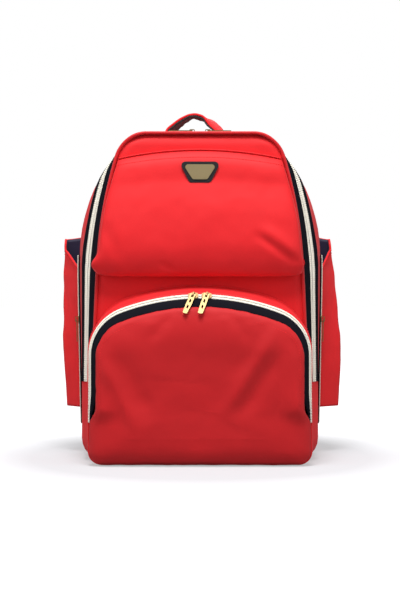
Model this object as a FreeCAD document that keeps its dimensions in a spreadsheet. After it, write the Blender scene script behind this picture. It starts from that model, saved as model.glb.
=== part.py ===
"""Wide-opening utility backpack, built as the sewn, moulded and cast pieces that it is made of.

Millimetres. The origin is the centre of the base, +X is the pack's left as worn and the viewer's right,
-Y is the front and +Z is up. Horizontal stations along Y carry the outline of the pack; every piece that
lies on its skin is cut from the same loft, so that tapes, teeth and panels meet.
"""
import FreeCAD, Part
import math
import os

Vector = FreeCAD.Vector
Rotation = FreeCAD.Rotation
Placement = FreeCAD.Placement

document = FreeCAD.newDocument("backpack")
sheet = document.addObject("Spreadsheet::Sheet", "Sizes")

SIZES = {
    # stations of the pack's skin along Y
    "front_station": -70.0,
    "zip_station": -44.0,
    "gusset_station": 12.0,
    "back_station": 70.0,
    # outline at each station: half widths, heights and corner radii
    "front_foot_half": 139.0,
    "front_waist_half": 129.0,
    "front_waist_height": 225.0,
    "front_shoulder_half": 97.0,
    "front_top_height": 412.0,
    "front_shoulder_radius": 35.0,
    "zip_foot_half": 150.0,
    "zip_waist_half": 150.0,
    "zip_waist_height": 262.0,
    "zip_shoulder_half": 112.0,
    "zip_top_height": 412.0,
    "zip_shoulder_radius": 95.0,
    "gusset_foot_half": 153.0,
    "gusset_waist_half": 159.0,
    "gusset_waist_height": 272.0,
    "gusset_shoulder_half": 159.0,
    "gusset_top_height": 405.0,
    "gusset_shoulder_radius": 122.0,
    "back_foot_half": 147.0,
    "back_waist_half": 151.0,
    "back_waist_height": 272.0,
    "back_shoulder_half": 151.0,
    "back_top_height": 400.0,
    "back_shoulder_radius": 110.0,
    "foot_radius": 28.0,
    "waist_radius": 120.0,
    "wall": 2.4,
    "tape_thickness": 1.0,
    "tooth_proud": 0.6,
    "row_width": 3.1,
    "row_gap": 1.0,
    "main_row_width": 5.4,
    "main_row_gap": 1.2,
    "seam_gap": 0.4,
    "piping_radius": 2.0,
    # main zip and fold of the lid
    "main_zip_line": -55.6,
    "main_zip_end_height": 100.0,
    "lid_fold_height": 236.0,
    # badge on the upper pocket
    "badge_half": 26.0,
    "badge_height": 361.0,
    "badge_seat": -87.8,
    "badge_thickness": 2.0,
    # lower front pocket
    "pocket_half": 133.0,
    "pocket_top": 212.0,
    "pocket_rim_rise": 8.0,
    "pocket_floor": 1.0,
    "pocket_crown_radius": 281.0,
    "pocket_corner_radius": 62.0,
    "pocket_foot_radius": 26.0,
    "pocket_zip_line": -107.5,
    "pocket_row_width": 2.4,
    "pocket_row_gap": 1.8,
    "flap_fold_height": 62.0,
    "flap_wall": 3.0,
    # side zips and pockets
    "side_zip_line": 8.0,
    "side_zip_low": 42.0,
    "side_zip_high": 262.0,
    "side_slider_height": 178.0,
    "side_pocket_floor": 62.0,
    "side_pocket_front": 20.0,
    "side_pocket_wall": 2.0,
    # hardware
    "slider_length": 12.0,
    "slider_width": 9.4,
    "main_slider_scale": 1.5,
    "slider_plate": 1.2,
    "slider_channel": 1.6,
    "slider_web": 0.6,
    "bail_width": 2.0,
    "bail_height": 4.0,
    "hinge_rise": 1.8,
    "bail_bar": 1.0,
    "pull_length": 30.0,
    "pull_width": 7.0,
    "pull_thickness": 1.2,
    "front_pull_lean_left": 22.0,
    "front_pull_lean_right": 15.0,
    "front_pull_droop": 10.0,
    "lock_width": 34.0,
    "lock_length": 26.0,
    "lock_thickness": 4.0,
    # stiffeners, pads, straps and handle
    "sheet_thickness": 2.0,
    "board_thickness": 3.0,
    "pad_thickness": 9.0,
    "strap_thickness": 9.0,
    "strap_top_height": 372.0,
    "strap_bottom_height": 132.0,
    "strap_stand_off": 83.0,
    "strap_bow": 24.0,
    "webbing_width": 25.0,
    "webbing_thickness": 1.6,
    "handle_foot_half": 37.0,
    "handle_crown_half": 20.0,
    "handle_crown_radius": 22.0,
    "handle_top_height": 445.0,
    "handle_width": 30.0,
    "handle_line": -10.0,
    "handle_strap_thickness": 3.0,
    "handle_lining_thickness": 2.0,
}

for row, (alias, value) in enumerate(SIZES.items(), start=1):
    sheet.set(f"A{row}", alias)
    sheet.set(f"B{row}", str(value))
    sheet.setAlias(f"B{row}", alias)
document.recompute()


def size(alias):
    """One driving dimension, read from the sheet."""
    return float(sheet.get(alias))


# ---------------------------------------------------------------- outlines

STATIONS = ("front", "zip", "gusset", "back")


def rounded_edges(corners, place, closed=True):
    """Lines and tangent arcs through (a, b, radius) corners; place turns (a, b) into a point in space."""
    count = len(corners)
    starts, ends, arcs = [], [], []
    for index, (a, b, radius) in enumerate(corners):
        here = Vector(a, b, 0)
        first = index == 0 and not closed
        last = index == count - 1 and not closed
        if radius <= 0 or first or last:
            starts.append(here)
            ends.append(here)
            arcs.append(None)
            continue
        before = Vector(*corners[index - 1][:2], 0) - here
        after = Vector(*corners[(index + 1) % count][:2], 0) - here
        before.normalize()
        after.normalize()
        half_angle = before.getAngle(after) / 2
        reach = radius / math.tan(half_angle)
        bisector = before + after
        bisector.normalize()
        centre = here + bisector * (radius / math.sin(half_angle))
        starts.append(here + before * reach)
        ends.append(here + after * reach)
        arcs.append(centre - bisector * radius)
    edges = []
    for index in range(count):
        if arcs[index] is not None:
            bend = (starts[index], arcs[index], ends[index])
            edges.append(Part.Arc(*(place(p.x, p.y) for p in bend)).toShape())
        if closed or index < count - 1:
            start, end = ends[index], starts[(index + 1) % count]
            edges.append(Part.makeLine(place(start.x, start.y), place(end.x, end.y)))
    return edges


def chorded_wire(corners, place, chords):
    """A closed outline whose round corners have the given numbers of chords, so that lofts match."""
    points = []
    for index, (a, b, radius) in enumerate(corners):
        here = Vector(a, b, 0)
        if radius <= 0:
            points.append(here)
            continue
        before = Vector(*corners[index - 1][:2], 0) - here
        after = Vector(*corners[(index + 1) % len(corners)][:2], 0) - here
        before.normalize()
        after.normalize()
        half_angle = before.getAngle(after) / 2
        bisector = before + after
        bisector.normalize()
        centre = here + bisector * (radius / math.sin(half_angle))
        half_turn = math.pi / 2 - half_angle
        toward = math.atan2(-bisector.y, -bisector.x)
        turning = 1.0 if before.cross(after).z < 0 else -1.0
        for step in range(chords[index] + 1):
            angle = toward + turning * half_turn * (2 * step / chords[index] - 1)
            points.append(centre + Vector(math.cos(angle), math.sin(angle), 0) * radius)
    placed = [place(point.x, point.y) for point in points]
    return Part.makePolygon(placed + placed[:1])


def upright(y):
    """Places outline points in the vertical plane at y."""
    return lambda a, b: Vector(a, y, b)


def level(z):
    """Places outline points in the horizontal plane at z."""
    return lambda a, b: Vector(a, b, z)


def mirrored(corners):
    """A right half, from the foot up, completed with its left half."""
    return corners + [(-a, b, radius) for a, b, radius in reversed(corners)]


def station_sizes(name):
    """The outline sizes of one station, as a list that can be blended with another's."""
    keys = ("foot_half", "waist_half", "waist_height", "shoulder_half", "top_height", "shoulder_radius")
    return [size(f"{name}_{key}") for key in keys]


def skin_corners(y, inset=0.0):
    """Corners of the pack's outline at any y, moved inwards by inset."""
    places = [size(f"{name}_station") for name in STATIONS]
    y = min(max(y, places[0]), places[-1])
    index = max(i for i in range(len(places) - 1) if places[i] <= y)
    share = (y - places[index]) / (places[index + 1] - places[index])
    near, far = station_sizes(STATIONS[index]), station_sizes(STATIONS[index + 1])
    foot, waist, waist_height, shoulder, top, radius = (n + (f - n) * share for n, f in zip(near, far))
    return mirrored([
        (foot - inset, inset - TRIM, size("foot_radius") - inset),
        (waist - inset, waist_height, size("waist_radius")),
        (shoulder - inset, top - inset, radius - inset),
    ])


SKIN_CHORDS = [3, 2, 6, 6, 2, 3]
# the floor is lofted this much too low, then trimmed flat where the pack stands
TRIM = 0.4


def skin_wire(y, place_y, inset=0.0):
    """The pack's outline for y, drawn in the plane place_y."""
    return chorded_wire(skin_corners(y, inset), upright(place_y), SKIN_CHORDS)


def skin_levels(low, high):
    """The y values a loft from low to high passes through."""
    places = [size(f"{name}_station") for name in STATIONS]
    return [low] + [y for y in places if low + 0.01 < y < high - 0.01] + [high]


def loft(wires):
    """A closed solid through outlines, with straight generators."""
    return Part.makeLoft(wires, True, True)


def skin_solid(low, high, inset=0.0, overrun=0.0):
    """The pack's full form between two y values, lengthened straight at both ends by overrun."""
    levels = skin_levels(low, high)
    wires = [skin_wire(y, y, inset) for y in levels]
    if overrun:
        wires = [skin_wire(low, low - overrun, inset)] + wires + [skin_wire(high, high + overrun, inset)]
    return loft(wires)


def skin_ring(low, high, outer, inner):
    """A band of the pack's skin from y = low to high, between two insets."""
    return skin_solid(low, high, outer).cut(skin_solid(low, high, inner, 2.0))


def block(x, y, z):
    """A box from three (low, high) pairs."""
    return Part.makeBox(x[1] - x[0], y[1] - y[0], z[1] - z[0], Vector(x[0], y[0], z[0]))


FAR = 300.0


def slab(low, high):
    """Everything between two heights."""
    return block((-FAR, FAR), (-FAR, FAR), (low, high))


# ---------------------------------------------------------------- document helpers

nodes = []


def keep(thing, label):
    """Registers an object as one node of the part."""
    thing.Label = label
    nodes.append(thing)
    return thing


def sewn(label, shape):
    """A soft or formed piece whose shape comes from the lofted skin."""
    feature = document.addObject("Part::Feature", label)
    if shape.ShapeType == "Compound" and len(shape.Solids) == 1:
        shape = shape.Solids[0]
    feature.Shape = shape
    return keep(feature, label)


def sketch_on(body, name, role, offset=None, turn=0.0):
    """A sketch on one of a body's own origin planes."""
    plane = next(feature for feature in body.Origin.OriginFeatures if feature.Role == role)
    sketch = body.newObject("Sketcher::SketchObject", name)
    sketch.AttachmentSupport = [(plane, "")]
    sketch.MapMode = "FlatFace"
    sketch.AttachmentOffset = Placement(Vector(0, 0, 0), Rotation(Vector(0, 1, 0), turn))
    if offset is not None:
        sketch.setExpression("AttachmentOffset.Base.z", offset)
    return sketch


def draw(sketch, corners):
    """Adds one closed rounded outline to a sketch."""
    for edge in rounded_edges(corners, lambda a, b: Vector(a, b, 0)):
        if edge.Length < 1e-6:
            continue
        curve = edge.Curve
        if isinstance(curve, Part.Line):
            sketch.addGeometry(Part.LineSegment(edge.firstVertex().Point, edge.lastVertex().Point), False)
        else:
            sketch.addGeometry(Part.ArcOfCircle(curve, edge.FirstParameter, edge.LastParameter), False)


def pad(body, sketch, length, midplane=False):
    """Pads a sketch by an expression of the sheet's sizes."""
    feature = body.newObject("PartDesign::Pad", f"{sketch.Name}_pad")
    feature.Profile = sketch
    feature.Midplane = midplane
    feature.setExpression("Length", length)
    sketch.Visibility = False
    return feature


def pocket(body, sketch, length, reversed_way=False):
    """Cuts a sketch out of its body."""
    feature = body.newObject("PartDesign::Pocket", f"{sketch.Name}_pocket")
    feature.Profile = sketch
    feature.Midplane = False
    feature.Reversed = reversed_way
    feature.setExpression("Length", length)
    return feature


def rectangle(half_a, half_b, radius=0.0, centre=(0.0, 0.0)):
    """Corners of a rounded rectangle."""
    a, b = centre
    return [(a + i * half_a, b + k * half_b, radius) for i, k in ((-1, -1), (1, -1), (1, 1), (-1, 1))]


# ---------------------------------------------------------------- pack: shell and stiffeners

FRONT = size("front_station")
BACK = size("back_station")
ZIP = size("zip_station")
WALL = size("wall")
GAP = size("seam_gap")
FOLD = size("lid_fold_height")
TAPE = size("tape_thickness")
PROUD = size("tooth_proud")
ROW = size("row_width")
HALF_GAP = size("row_gap") / 2
PIPING_RADIUS = size("piping_radius")
SIDES = {"left": -1, "right": 1}


def make_shell():
    """The tub: gussets, top, floor and back wall, open to the front, slotted for the side zips."""
    tub = skin_solid(ZIP, BACK).cut(skin_solid(ZIP - 4, BACK - WALL, WALL))
    line = size("side_zip_line")
    slot_half = ROW + HALF_GAP + 2.6
    for sign in SIDES.values():
        x = sorted((sign * 130, sign * 180))
        slot = block(x, (line - slot_half, line + slot_half), (size("side_zip_low"), size("side_zip_high")))
        tub = tub.cut(slot)
    sewn("rear_shell", tub.common(slab(0, 500)))


def make_stiffeners():
    """Board on the floor and sheet against the back wall."""
    board = document.addObject("PartDesign::Body", "base_board")
    outline = sketch_on(board, "board_outline", "XY_Plane", "Sizes.wall + 0.3")
    draw(outline, rectangle(116, 52, 12, (0, 10)))
    pad(board, outline, "Sizes.board_thickness")
    keep(board, "base_board")

    stiffener = document.addObject("PartDesign::Body", "frame_sheet")
    outline = sketch_on(stiffener, "sheet_outline", "XZ_Plane", "0 - (Sizes.back_station - Sizes.wall - 0.3)")
    draw(outline, mirrored([(118, 8, 14), (118, 270, 60), (96, 372, 50)]))
    for height in (90, 150, 210, 270):
        draw(outline, rectangle(34, 5, 0, (0, height)))
    pad(stiffener, outline, "Sizes.sheet_thickness")
    keep(stiffener, "frame_sheet")


def make_front_wall():
    """Front wall below the lid's fold, with the corner fabric under the ends of the main zip."""
    wall = skin_solid(FRONT, FRONT + WALL, PIPING_RADIUS + 1.0)
    allowance = skin_ring(FRONT + WALL, FRONT + 2 * WALL, TAPE + 0.2, 2 * WALL)
    corner = skin_ring(FRONT + WALL, ZIP, 0, WALL).common(slab(-1, size("main_zip_end_height") - GAP))
    sewn("lower_front_panel", wall.fuse([allowance, corner]).common(slab(0, FOLD - GAP)).removeSplitter())


def make_piping():
    """Round piping in the seam of the front panel, in its fixed part and its lid part."""
    y = FRONT - 0.2
    near, far = 0.4 * PIPING_RADIUS, PIPING_RADIUS
    outer = [(-far, near), (-near, far), (near, far), (far, near)]
    inner = [(-far - 1, near), (-far, near), (-near, far), (near, far), (far, near), (far + 1, near)]
    cord = loft([skin_wire(y, y + along, -across) for along, across in outer])
    cord = cord.cut(loft([skin_wire(y, y + along, across) for along, across in inner]))
    hidden = pocket_solid(FRONT, FRONT - 2 * PIPING_RADIUS, -GAP)
    sewn("lower_piping", cord.common(slab(30, FOLD - PIPING_RADIUS)).cut(hidden))
    sewn("lid_piping", cord.common(slab(FOLD + GAP, 500)))


def make_main_zip():
    """Two tapes with a row of teeth each, split where the lid folds."""
    line = size("main_zip_line")
    end = size("main_zip_end_height")
    near = size("main_row_gap") / 2
    far = near + size("main_row_width")
    front_tape = skin_ring(FRONT + WALL, line - far, 0, TAPE)
    front_row = skin_ring(line - far, line - near, -PROUD, TAPE + PROUD)
    rear_row = skin_ring(line + near, line + far, -PROUD, TAPE + PROUD)
    rear_tape = skin_ring(line + far, ZIP, 0, TAPE)
    fixed, moving = slab(end, FOLD - GAP), slab(FOLD + GAP, 500)
    sewn("main_zip_tape_lower", front_tape.common(fixed))
    sewn("main_zip_teeth_lower", front_row.common(fixed))
    sewn("lid_zip_tape", front_tape.common(moving))
    sewn("lid_zip_teeth", front_row.common(moving))
    sewn("main_zip_tape_rear", rear_tape.common(slab(end, 500)))
    sewn("main_zip_teeth_rear", rear_row.common(slab(end, 500)))


# ---------------------------------------------------------------- lid

# depth, half width low and high, height low, at the shoulders and at the middle,
# and corner radii low and high
STUFFED_SECTIONS = [
    (0, 122, 98, 246, 381, 392, 8, 10),
    (2, 123, 98, 242, 381, 391, 9, 11),
    (8, 125, 97, 239, 377, 387, 10, 14),
    (15, 123, 96, 240, 366, 376, 12, 18),
    (17.6, 121, 96, 242, 350, 358, 14, 20),
    (21, 118, 97, 246, 331, 340, 16, 24),
    (25, 110, 90, 256, 308, 317, 18, 20),
    (27, 80, 70, 270, 284, 290, 5, 5),
]
STUFFED_CHORDS = [4, 4, 0, 4, 4]


def make_lid():
    """Front panel above the fold, and the stuffed pocket with a seat for the badge."""
    panel = skin_solid(FRONT, FRONT + WALL, PIPING_RADIUS + 1.0).common(slab(FOLD + GAP, 500))
    sewn("lid_panel", panel)

    base = FRONT - GAP
    wires = []
    for depth, half_low, half_high, low, high, top, low_radius, high_radius in STUFFED_SECTIONS:
        right = [(half_low, low, low_radius), (half_high, high, high_radius)]
        corners = right + [(0, top, 0)] + [(-a, b, radius) for a, b, radius in reversed(right)]
        wires.append(chorded_wire(corners, upright(base - depth), STUFFED_CHORDS))
    stuffed = loft(wires)
    outline = badge_corners(size("badge_half") + GAP, size("badge_half") / 2 + GAP, -13 - GAP, 13 + GAP, 5)
    place = upright(size("badge_seat"))
    middle = size("badge_height")
    seat = Part.Face(Part.Wire(rounded_edges([(a, b + middle, r) for a, b, r in outline], place)))
    sewn("upper_pocket", stuffed.cut(seat.extrude(Vector(0, -20, 0))))


def badge_corners(half_top, half_low, low, high, radius):
    """A rounded shield, wider at its top."""
    return mirrored([(half_low, low, radius), (half_top, high, radius)])


def make_badge():
    """A rubber patch with a bare riveted plate, standing on the lid."""
    middle = size("badge_height")
    seat = size("badge_seat")
    patch = document.addObject("PartDesign::Body", "badge_patch")
    outline = sketch_on(patch, "patch_outline", "XZ_Plane")
    draw(outline, badge_corners(size("badge_half"), size("badge_half") / 2, -13, 13, 5))
    pad(patch, outline, "Sizes.badge_thickness")
    patch.Placement = Placement(Vector(0, seat, middle), Rotation())
    keep(patch, "badge_patch")

    plate = document.addObject("PartDesign::Body", "badge_plate")
    outline = sketch_on(plate, "plate_outline", "XZ_Plane")
    draw(outline, badge_corners(21, 9, -9, 9.5, 3.5))
    pad(plate, outline, "1")
    rivets = sketch_on(plate, "plate_rivets", "XZ_Plane")
    for a, b in ((-16.5, 5.5), (16.5, 5.5), (-6.5, -5.5), (6.5, -5.5)):
        rivets.addGeometry(Part.Circle(Vector(a, b, 0), Vector(0, 0, 1), 1.3), False)
    pad(plate, rivets, "1.8")
    plate.Placement = Placement(Vector(0, seat - size("badge_thickness"), middle), Rotation())
    keep(plate, "badge_plate")


# ---------------------------------------------------------------- lower front pocket

# y and inset of the pocket's outline, from the seam with the pack to the face of the flap
POCKET_PROFILE = [(-70.4, 0.0), (-103.0, 0.0), (-112.5, 9.5), (-116.0, 15.0), (-119.5, 21.0), (-123.5, 31.0),
                  (-126.5, 49.0), (-127.5, 76.0)]


def pocket_inset(y):
    """How far the pocket's outline has drawn in at y."""
    for (y0, inset0), (y1, inset1) in zip(POCKET_PROFILE, POCKET_PROFILE[1:]):
        if y >= y1:
            return inset0 + (inset1 - inset0) * (y - y0) / (y1 - y0)
    return POCKET_PROFILE[-1][1]


def pocket_wire(y, inset):
    """The pocket's arched outline: straight sides, round corners, a wide crown and round feet."""
    rim = min(max((y - POCKET_PROFILE[1][0]) / (POCKET_PROFILE[0][0] - POCKET_PROFILE[1][0]), 0.0), 1.0)
    half = size("pocket_half") - inset
    top = size("pocket_top") - inset + size("pocket_rim_rise") * rim
    crown = size("pocket_crown_radius") - inset
    corner = max(size("pocket_corner_radius") - inset, 14.0)
    foot = max(size("pocket_foot_radius") - 0.3 * inset, 10.0)
    floor = size("pocket_floor") + 0.45 * inset
    crown_middle = top - crown
    corner_middle = crown_middle + math.sqrt((crown - corner) ** 2 - (half - corner) ** 2)
    turn = math.atan2(corner_middle - crown_middle, half - corner)
    join = (crown * math.cos(turn), crown_middle + crown * math.sin(turn))
    half_turn = turn / 2
    bulge = (half - corner + corner * math.cos(half_turn), corner_middle + corner * math.sin(half_turn))
    place = upright(y)
    diagonal = math.sqrt(0.5)
    foot_middle = (half - foot * (1 - diagonal), floor + foot * (1 - diagonal))
    edges = []
    for sign in (1, -1):
        edges.append(Part.Arc(place(sign * (half - foot), floor),
                              place(sign * foot_middle[0], foot_middle[1]),
                              place(sign * half, floor + foot)).toShape())
        edges.append(Part.makeLine(place(sign * half, floor + foot), place(sign * half, corner_middle)))
        edges.append(Part.Arc(place(sign * half, corner_middle), place(sign * bulge[0], bulge[1]),
                              place(sign * join[0], join[1])).toShape())
    crown_edge = Part.Arc(place(join[0], join[1]), place(0, top), place(-join[0], join[1])).toShape()
    floor_edge = Part.makeLine(place(-(half - foot), floor), place(half - foot, floor))
    return Part.Wire(edges[:3] + [crown_edge] + edges[5:2:-1] + [floor_edge])


def pocket_solid(near, far, inset=0.0, overrun=0.0):
    """The pocket's full form from y = near (towards the pack) to far (towards the front)."""
    levels = [near] + [y for y, _ in POCKET_PROFILE if far + 0.01 < y < near - 0.01] + [far]
    wires = [pocket_wire(y, pocket_inset(y) + inset) for y in levels]
    if overrun:
        wires.insert(0, pocket_wire(near + overrun, pocket_inset(near) + inset))
        wires.append(pocket_wire(far - overrun, pocket_inset(far) + inset))
    return loft(wires)


def pocket_ring(near, far, outer, inner):
    """A band of the pocket's skin."""
    return pocket_solid(near, far, outer).cut(pocket_solid(near, far, inner, 2.0))


def make_front_pocket():
    """Gusset and base sewn to the pack, and the zipped flap that folds down in front."""
    line = size("pocket_zip_line")
    slant = math.sqrt(2)
    row = size("pocket_row_width") / slant
    gap = size("pocket_row_gap") / 2 / slant
    fold = size("flap_fold_height")
    wall = size("flap_wall")
    open_part = slab(fold + GAP, 500)
    outer_end = line + gap + row
    inner_start = line - gap - row
    face = POCKET_PROFILE[-1][0]
    flap_start = POCKET_PROFILE[3][0]

    gusset = pocket_ring(FRONT - GAP, outer_end, 0, WALL)
    sewn("front_pocket_gusset", gusset.common(open_part))
    teeth = (0, TAPE * slant)
    sewn("pocket_zip_teeth_outer", pocket_ring(outer_end, line + gap, *teeth).common(open_part))
    sewn("flap_zip_teeth", pocket_ring(line - gap, inner_start, *teeth).common(open_part))
    sewn("flap_zip_tape", pocket_ring(inner_start, flap_start, 0, TAPE * slant).common(open_part))

    panel = pocket_solid(flap_start, face).cut(pocket_solid(flap_start + 4, face + wall, wall))
    sewn("flap_panel", panel.common(open_part))
    base = pocket_solid(FRONT - GAP, face).cut(pocket_solid(FRONT + 4, face + wall, wall))
    sewn("front_pocket_base", base.common(slab(-5, fold - GAP)))


# ---------------------------------------------------------------- side zips and side pockets

def make_side_zips():
    """Tapes and rows of teeth in the slots of the side gussets."""
    line = size("side_zip_line")
    near, far = HALF_GAP, HALF_GAP + ROW
    reach = far + 8.0
    lift = 0.15
    tapes = skin_ring(line - reach, line - far, -TAPE - lift, -lift)
    tapes = tapes.fuse(skin_ring(line + far, line + reach, -TAPE - lift, -lift))
    rows = skin_ring(line - far, line - near, -TAPE - PROUD, PROUD)
    rows = rows.fuse(skin_ring(line + near, line + far, -TAPE - PROUD, PROUD))
    for side, sign in SIDES.items():
        x = sorted((sign * 120, sign * 200))
        run = block(x, (-40, 60), (size("side_zip_low") + GAP, size("side_zip_high") - GAP))
        sewn(f"side_zip_tape_{side}", tapes.common(run))
        sewn(f"side_zip_teeth_{side}", rows.common(run))


SIDE_POCKET_REACH = [(0.0, 172.0), (14.0, 181.0), (88.0, 184.0), (200.0, 179.0), (240.0, 178.0)]


def side_pocket_form(inset, floor):
    """The right pocket's full form, flared and closed, as if stuffed."""
    front = size("side_pocket_front")
    back = BACK - 1
    wires = []
    for rise, reach in SIDE_POCKET_REACH:
        outer = reach - inset
        corners = [(140, front + inset, 0), (160 - inset, front + inset, 6), (outer, front + 20, 12),
                   (outer, back - 12, 12), (150, back - inset, 6), (140, back - inset, 0)]
        height = max(size("side_pocket_floor") + rise, floor)
        wires.append(chorded_wire(corners, level(height), [0, 2, 3, 3, 2, 0]))
    return loft(wires)


def under_mouth(drop):
    """Everything below the slanted mouth of a side pocket."""
    profile = [(-40, -40), (120, -40), (120, 332 - drop), (-40, 198 - drop)]
    face = Part.Face(Part.makePolygon([Vector(-FAR, a, b) for a, b in profile + profile[:1]]))
    return face.extrude(Vector(2 * FAR, 0, 0))


def make_side_pockets():
    """Open pockets behind the side zips, with a thin lining."""
    wall = size("side_pocket_wall")
    floor = size("side_pocket_floor")
    body = skin_solid(ZIP, BACK, -TAPE - 0.3)
    lining = 0.8
    outer = side_pocket_form(0.0, floor)
    middle = side_pocket_form(wall, floor + wall)
    inner = side_pocket_form(wall + lining, floor + wall + lining)
    shell = outer.cut(middle).cut(body).common(under_mouth(0))
    skin = middle.cut(inner).cut(body).common(under_mouth(1.5))
    for label, right in (("side_pocket", shell), ("side_pocket_lining", skin)):
        sewn(f"{label}_right", right)
        sewn(f"{label}_left", right.mirror(Vector(0, 0, 0), Vector(1, 0, 0)))


# ---------------------------------------------------------------- sliders and pulls

def make_slider(label, place, bail_turn, scale=1.0):
    """Slider: two plates round the rows, a web between them, flanges and a bail.

    Its own X is the way it travels, nose first, and its own Z points away from the zip.
    """
    body = document.addObject("PartDesign::Body", label)
    half_length = size("slider_length") * scale / 2
    half_width = size("slider_width") * scale / 2
    plate = mirrored_along([(-half_length, half_width - 1.3, 0), (-half_length + 3.5, half_width, 0),
                            (half_length - 2.0, half_width, 1.2), (half_length, half_width - 1.8, 0)])
    top = sketch_on(body, f"{label}_top", "XY_Plane", "Sizes.slider_channel")
    draw(top, plate)
    pad(body, top, "Sizes.slider_plate")
    web = sketch_on(body, f"{label}_web", "XY_Plane", "0 - Sizes.slider_channel")
    draw(web, rectangle(1.5 * scale, size("slider_web") / 2, 0, (half_length - 2.4 * scale, 0)))
    pad(body, web, "2 * Sizes.slider_channel")
    under = sketch_on(body, f"{label}_under", "XY_Plane", "0 - Sizes.slider_channel - Sizes.slider_plate")
    draw(under, plate)
    pad(body, under, "Sizes.slider_plate")
    flanges = sketch_on(body, f"{label}_flanges", "XY_Plane", "Sizes.slider_channel * 0.6")
    for sign in (-1, 1):
        draw(flanges, rectangle(3.2 * scale, 0.4, 0, (0.6, sign * (half_width - 0.4))))
    pad(body, flanges, "Sizes.slider_channel * 0.4 + Sizes.slider_plate / 2")
    arch = sketch_on(body, f"{label}_arch", "XZ_Plane", None, bail_turn)
    foot = size("slider_channel") + size("slider_plate") * 0.5
    crest = size("slider_channel") + size("slider_plate") + size("bail_height")
    bar = size("bail_bar")
    draw(arch, arch_corners(3.6, foot, crest, 1.6, bar))
    pad(body, arch, "Sizes.bail_width", True)
    body.Placement = place
    return keep(body, label)


def mirrored_along(corners):
    """An upper half, from the tail to the nose, completed below its own centre line."""
    return corners + [(a, -b, radius) for a, b, radius in reversed(corners)]


def arch_corners(half, low, high, radius, bar):
    """A closed band in the form of an arch with square feet."""
    outer = [(-half, low, 0), (-half, high, radius), (half, high, radius), (half, low, 0)]
    inner_radius = max(radius - bar, 0.3)
    inner = [(half - bar, low, 0), (half - bar, high - bar, inner_radius),
             (-half + bar, high - bar, inner_radius),
             (-half + bar, low, 0)]
    return outer + inner


def make_pull(label, place):
    """Pull tab with an eye for the bail and two slots; its own Y is the hinge and it points along -X."""
    body = document.addObject("PartDesign::Body", label)
    half_width = size("pull_width") / 2
    half_thickness = size("pull_thickness") / 2
    tip = half_thickness - size("pull_length")
    outline = sketch_on(body, f"{label}_outline", "XY_Plane", "0 - Sizes.pull_thickness / 2")
    draw(outline, mirrored_along([(tip, half_width * 0.8, 1.2), (tip + 12, half_width, 0),
                                  (half_thickness, half_width, 0)]))
    draw(outline, rectangle(1.95, size("bail_width") / 2 + 0.5, 0, (-2.55, 0)))
    for middle in (-10.5, -19.5):
        draw(outline, slanted_slot(middle, 2.4, 1.1, 1.2))
    pad(body, outline, "Sizes.pull_thickness")
    body.Placement = place
    return keep(body, label)


def slanted_slot(middle, half_length, half_width, slant):
    """Corners of a slot whose two ends lean the same way."""
    start = middle - half_length
    end = middle + half_length
    return [(start - slant / 2, -half_width, 0), (end - slant / 2, -half_width, 0),
            (end + slant / 2, half_width, 0), (start + slant / 2, half_width, 0)]


def frame_of(origin, along, outward):
    """A placement whose X runs along the zip and whose Z points away from it."""
    along = Vector(*along)
    along.normalize()
    outward = Vector(*outward)
    outward.normalize()
    across = outward.cross(along)
    matrix = FreeCAD.Matrix(along.x, across.x, outward.x, origin[0], along.y, across.y, outward.y, origin[1],
                            along.z, across.z, outward.z, origin[2], 0, 0, 0, 1)
    return Placement(matrix)


def hinge_height():
    """Height of a pull's hinge over the middle of the rows."""
    return size("slider_channel") + size("slider_plate") + size("hinge_rise")


def side_point(y, height):
    """Point of the pack's straight side, on the right, at y and at a height."""
    foot, waist = skin_corners(y)[:2]
    share = (height - foot[1]) / (waist[1] - foot[1])
    return Vector(foot[0] + (waist[0] - foot[0]) * share, y, height)


def make_hardware():
    """Two sliders and two pulls on each of the main, front pocket and side zips."""
    line = size("main_zip_line")
    top = size("front_top_height") - TAPE / 2
    scale = size("main_slider_scale")
    for side, sign in SIDES.items():
        start = (sign * (size("slider_length") * scale / 2 + 1.0), line, top)
        place = frame_of(start, (-sign, 0, 0), (0, 0, 1))
        make_slider(f"main_slider_{side}", place, 0.0, scale)
        hinge = place.multiply(Placement(Vector(0, 0, hinge_height()), Rotation()))
        make_pull(f"main_pull_{side}", hinge)

    y = size("pocket_zip_line")
    inset = pocket_inset(y) + TAPE / math.sqrt(2)
    radius = size("pocket_crown_radius") - inset
    middle = size("pocket_top") - size("pocket_crown_radius")
    for side, sign in SIDES.items():
        angle = math.radians(sign * 1.7)
        start = (radius * math.sin(angle), y, middle + radius * math.cos(angle))
        tangent = (-sign * math.cos(angle), 0, sign * math.sin(angle))
        normal = (math.sin(angle), -1, math.cos(angle))
        place = frame_of(start, tangent, normal)
        turn = -sign * 90.0 - size(f"front_pull_lean_{side}")
        make_slider(f"front_slider_{side}", place, turn)
        hinge = Placement(Vector(0, 0, hinge_height()), Rotation(Vector(0, 0, 1), turn))
        hanging = Placement(Vector(0, 0, 0), Rotation(Vector(0, 1, 0), -size("front_pull_droop")))
        make_pull(f"front_pull_{side}", place.multiply(hinge).multiply(hanging))

    line = size("side_zip_line")
    height = size("side_slider_height")
    for side, sign in SIDES.items():
        along = (side_point(line, height + 1) - side_point(line, height - 1)).normalize()
        across = (side_point(line + 1, height) - side_point(line - 1, height)).normalize()
        outward = across.cross(along)
        middle = side_point(line, height) + outward * (TAPE / 2)
        place = frame_of((sign * middle.x, middle.y, middle.z), (sign * along.x, along.y, along.z),
                         (sign * outward.x, outward.y, outward.z))
        make_slider(f"side_slider_{side}", place, 0.0)
        hinge = place.multiply(Placement(Vector(0, 0, hinge_height()), Rotation()))
        make_pull(f"side_pull_{side}", hinge)


# ---------------------------------------------------------------- carrying side

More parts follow.
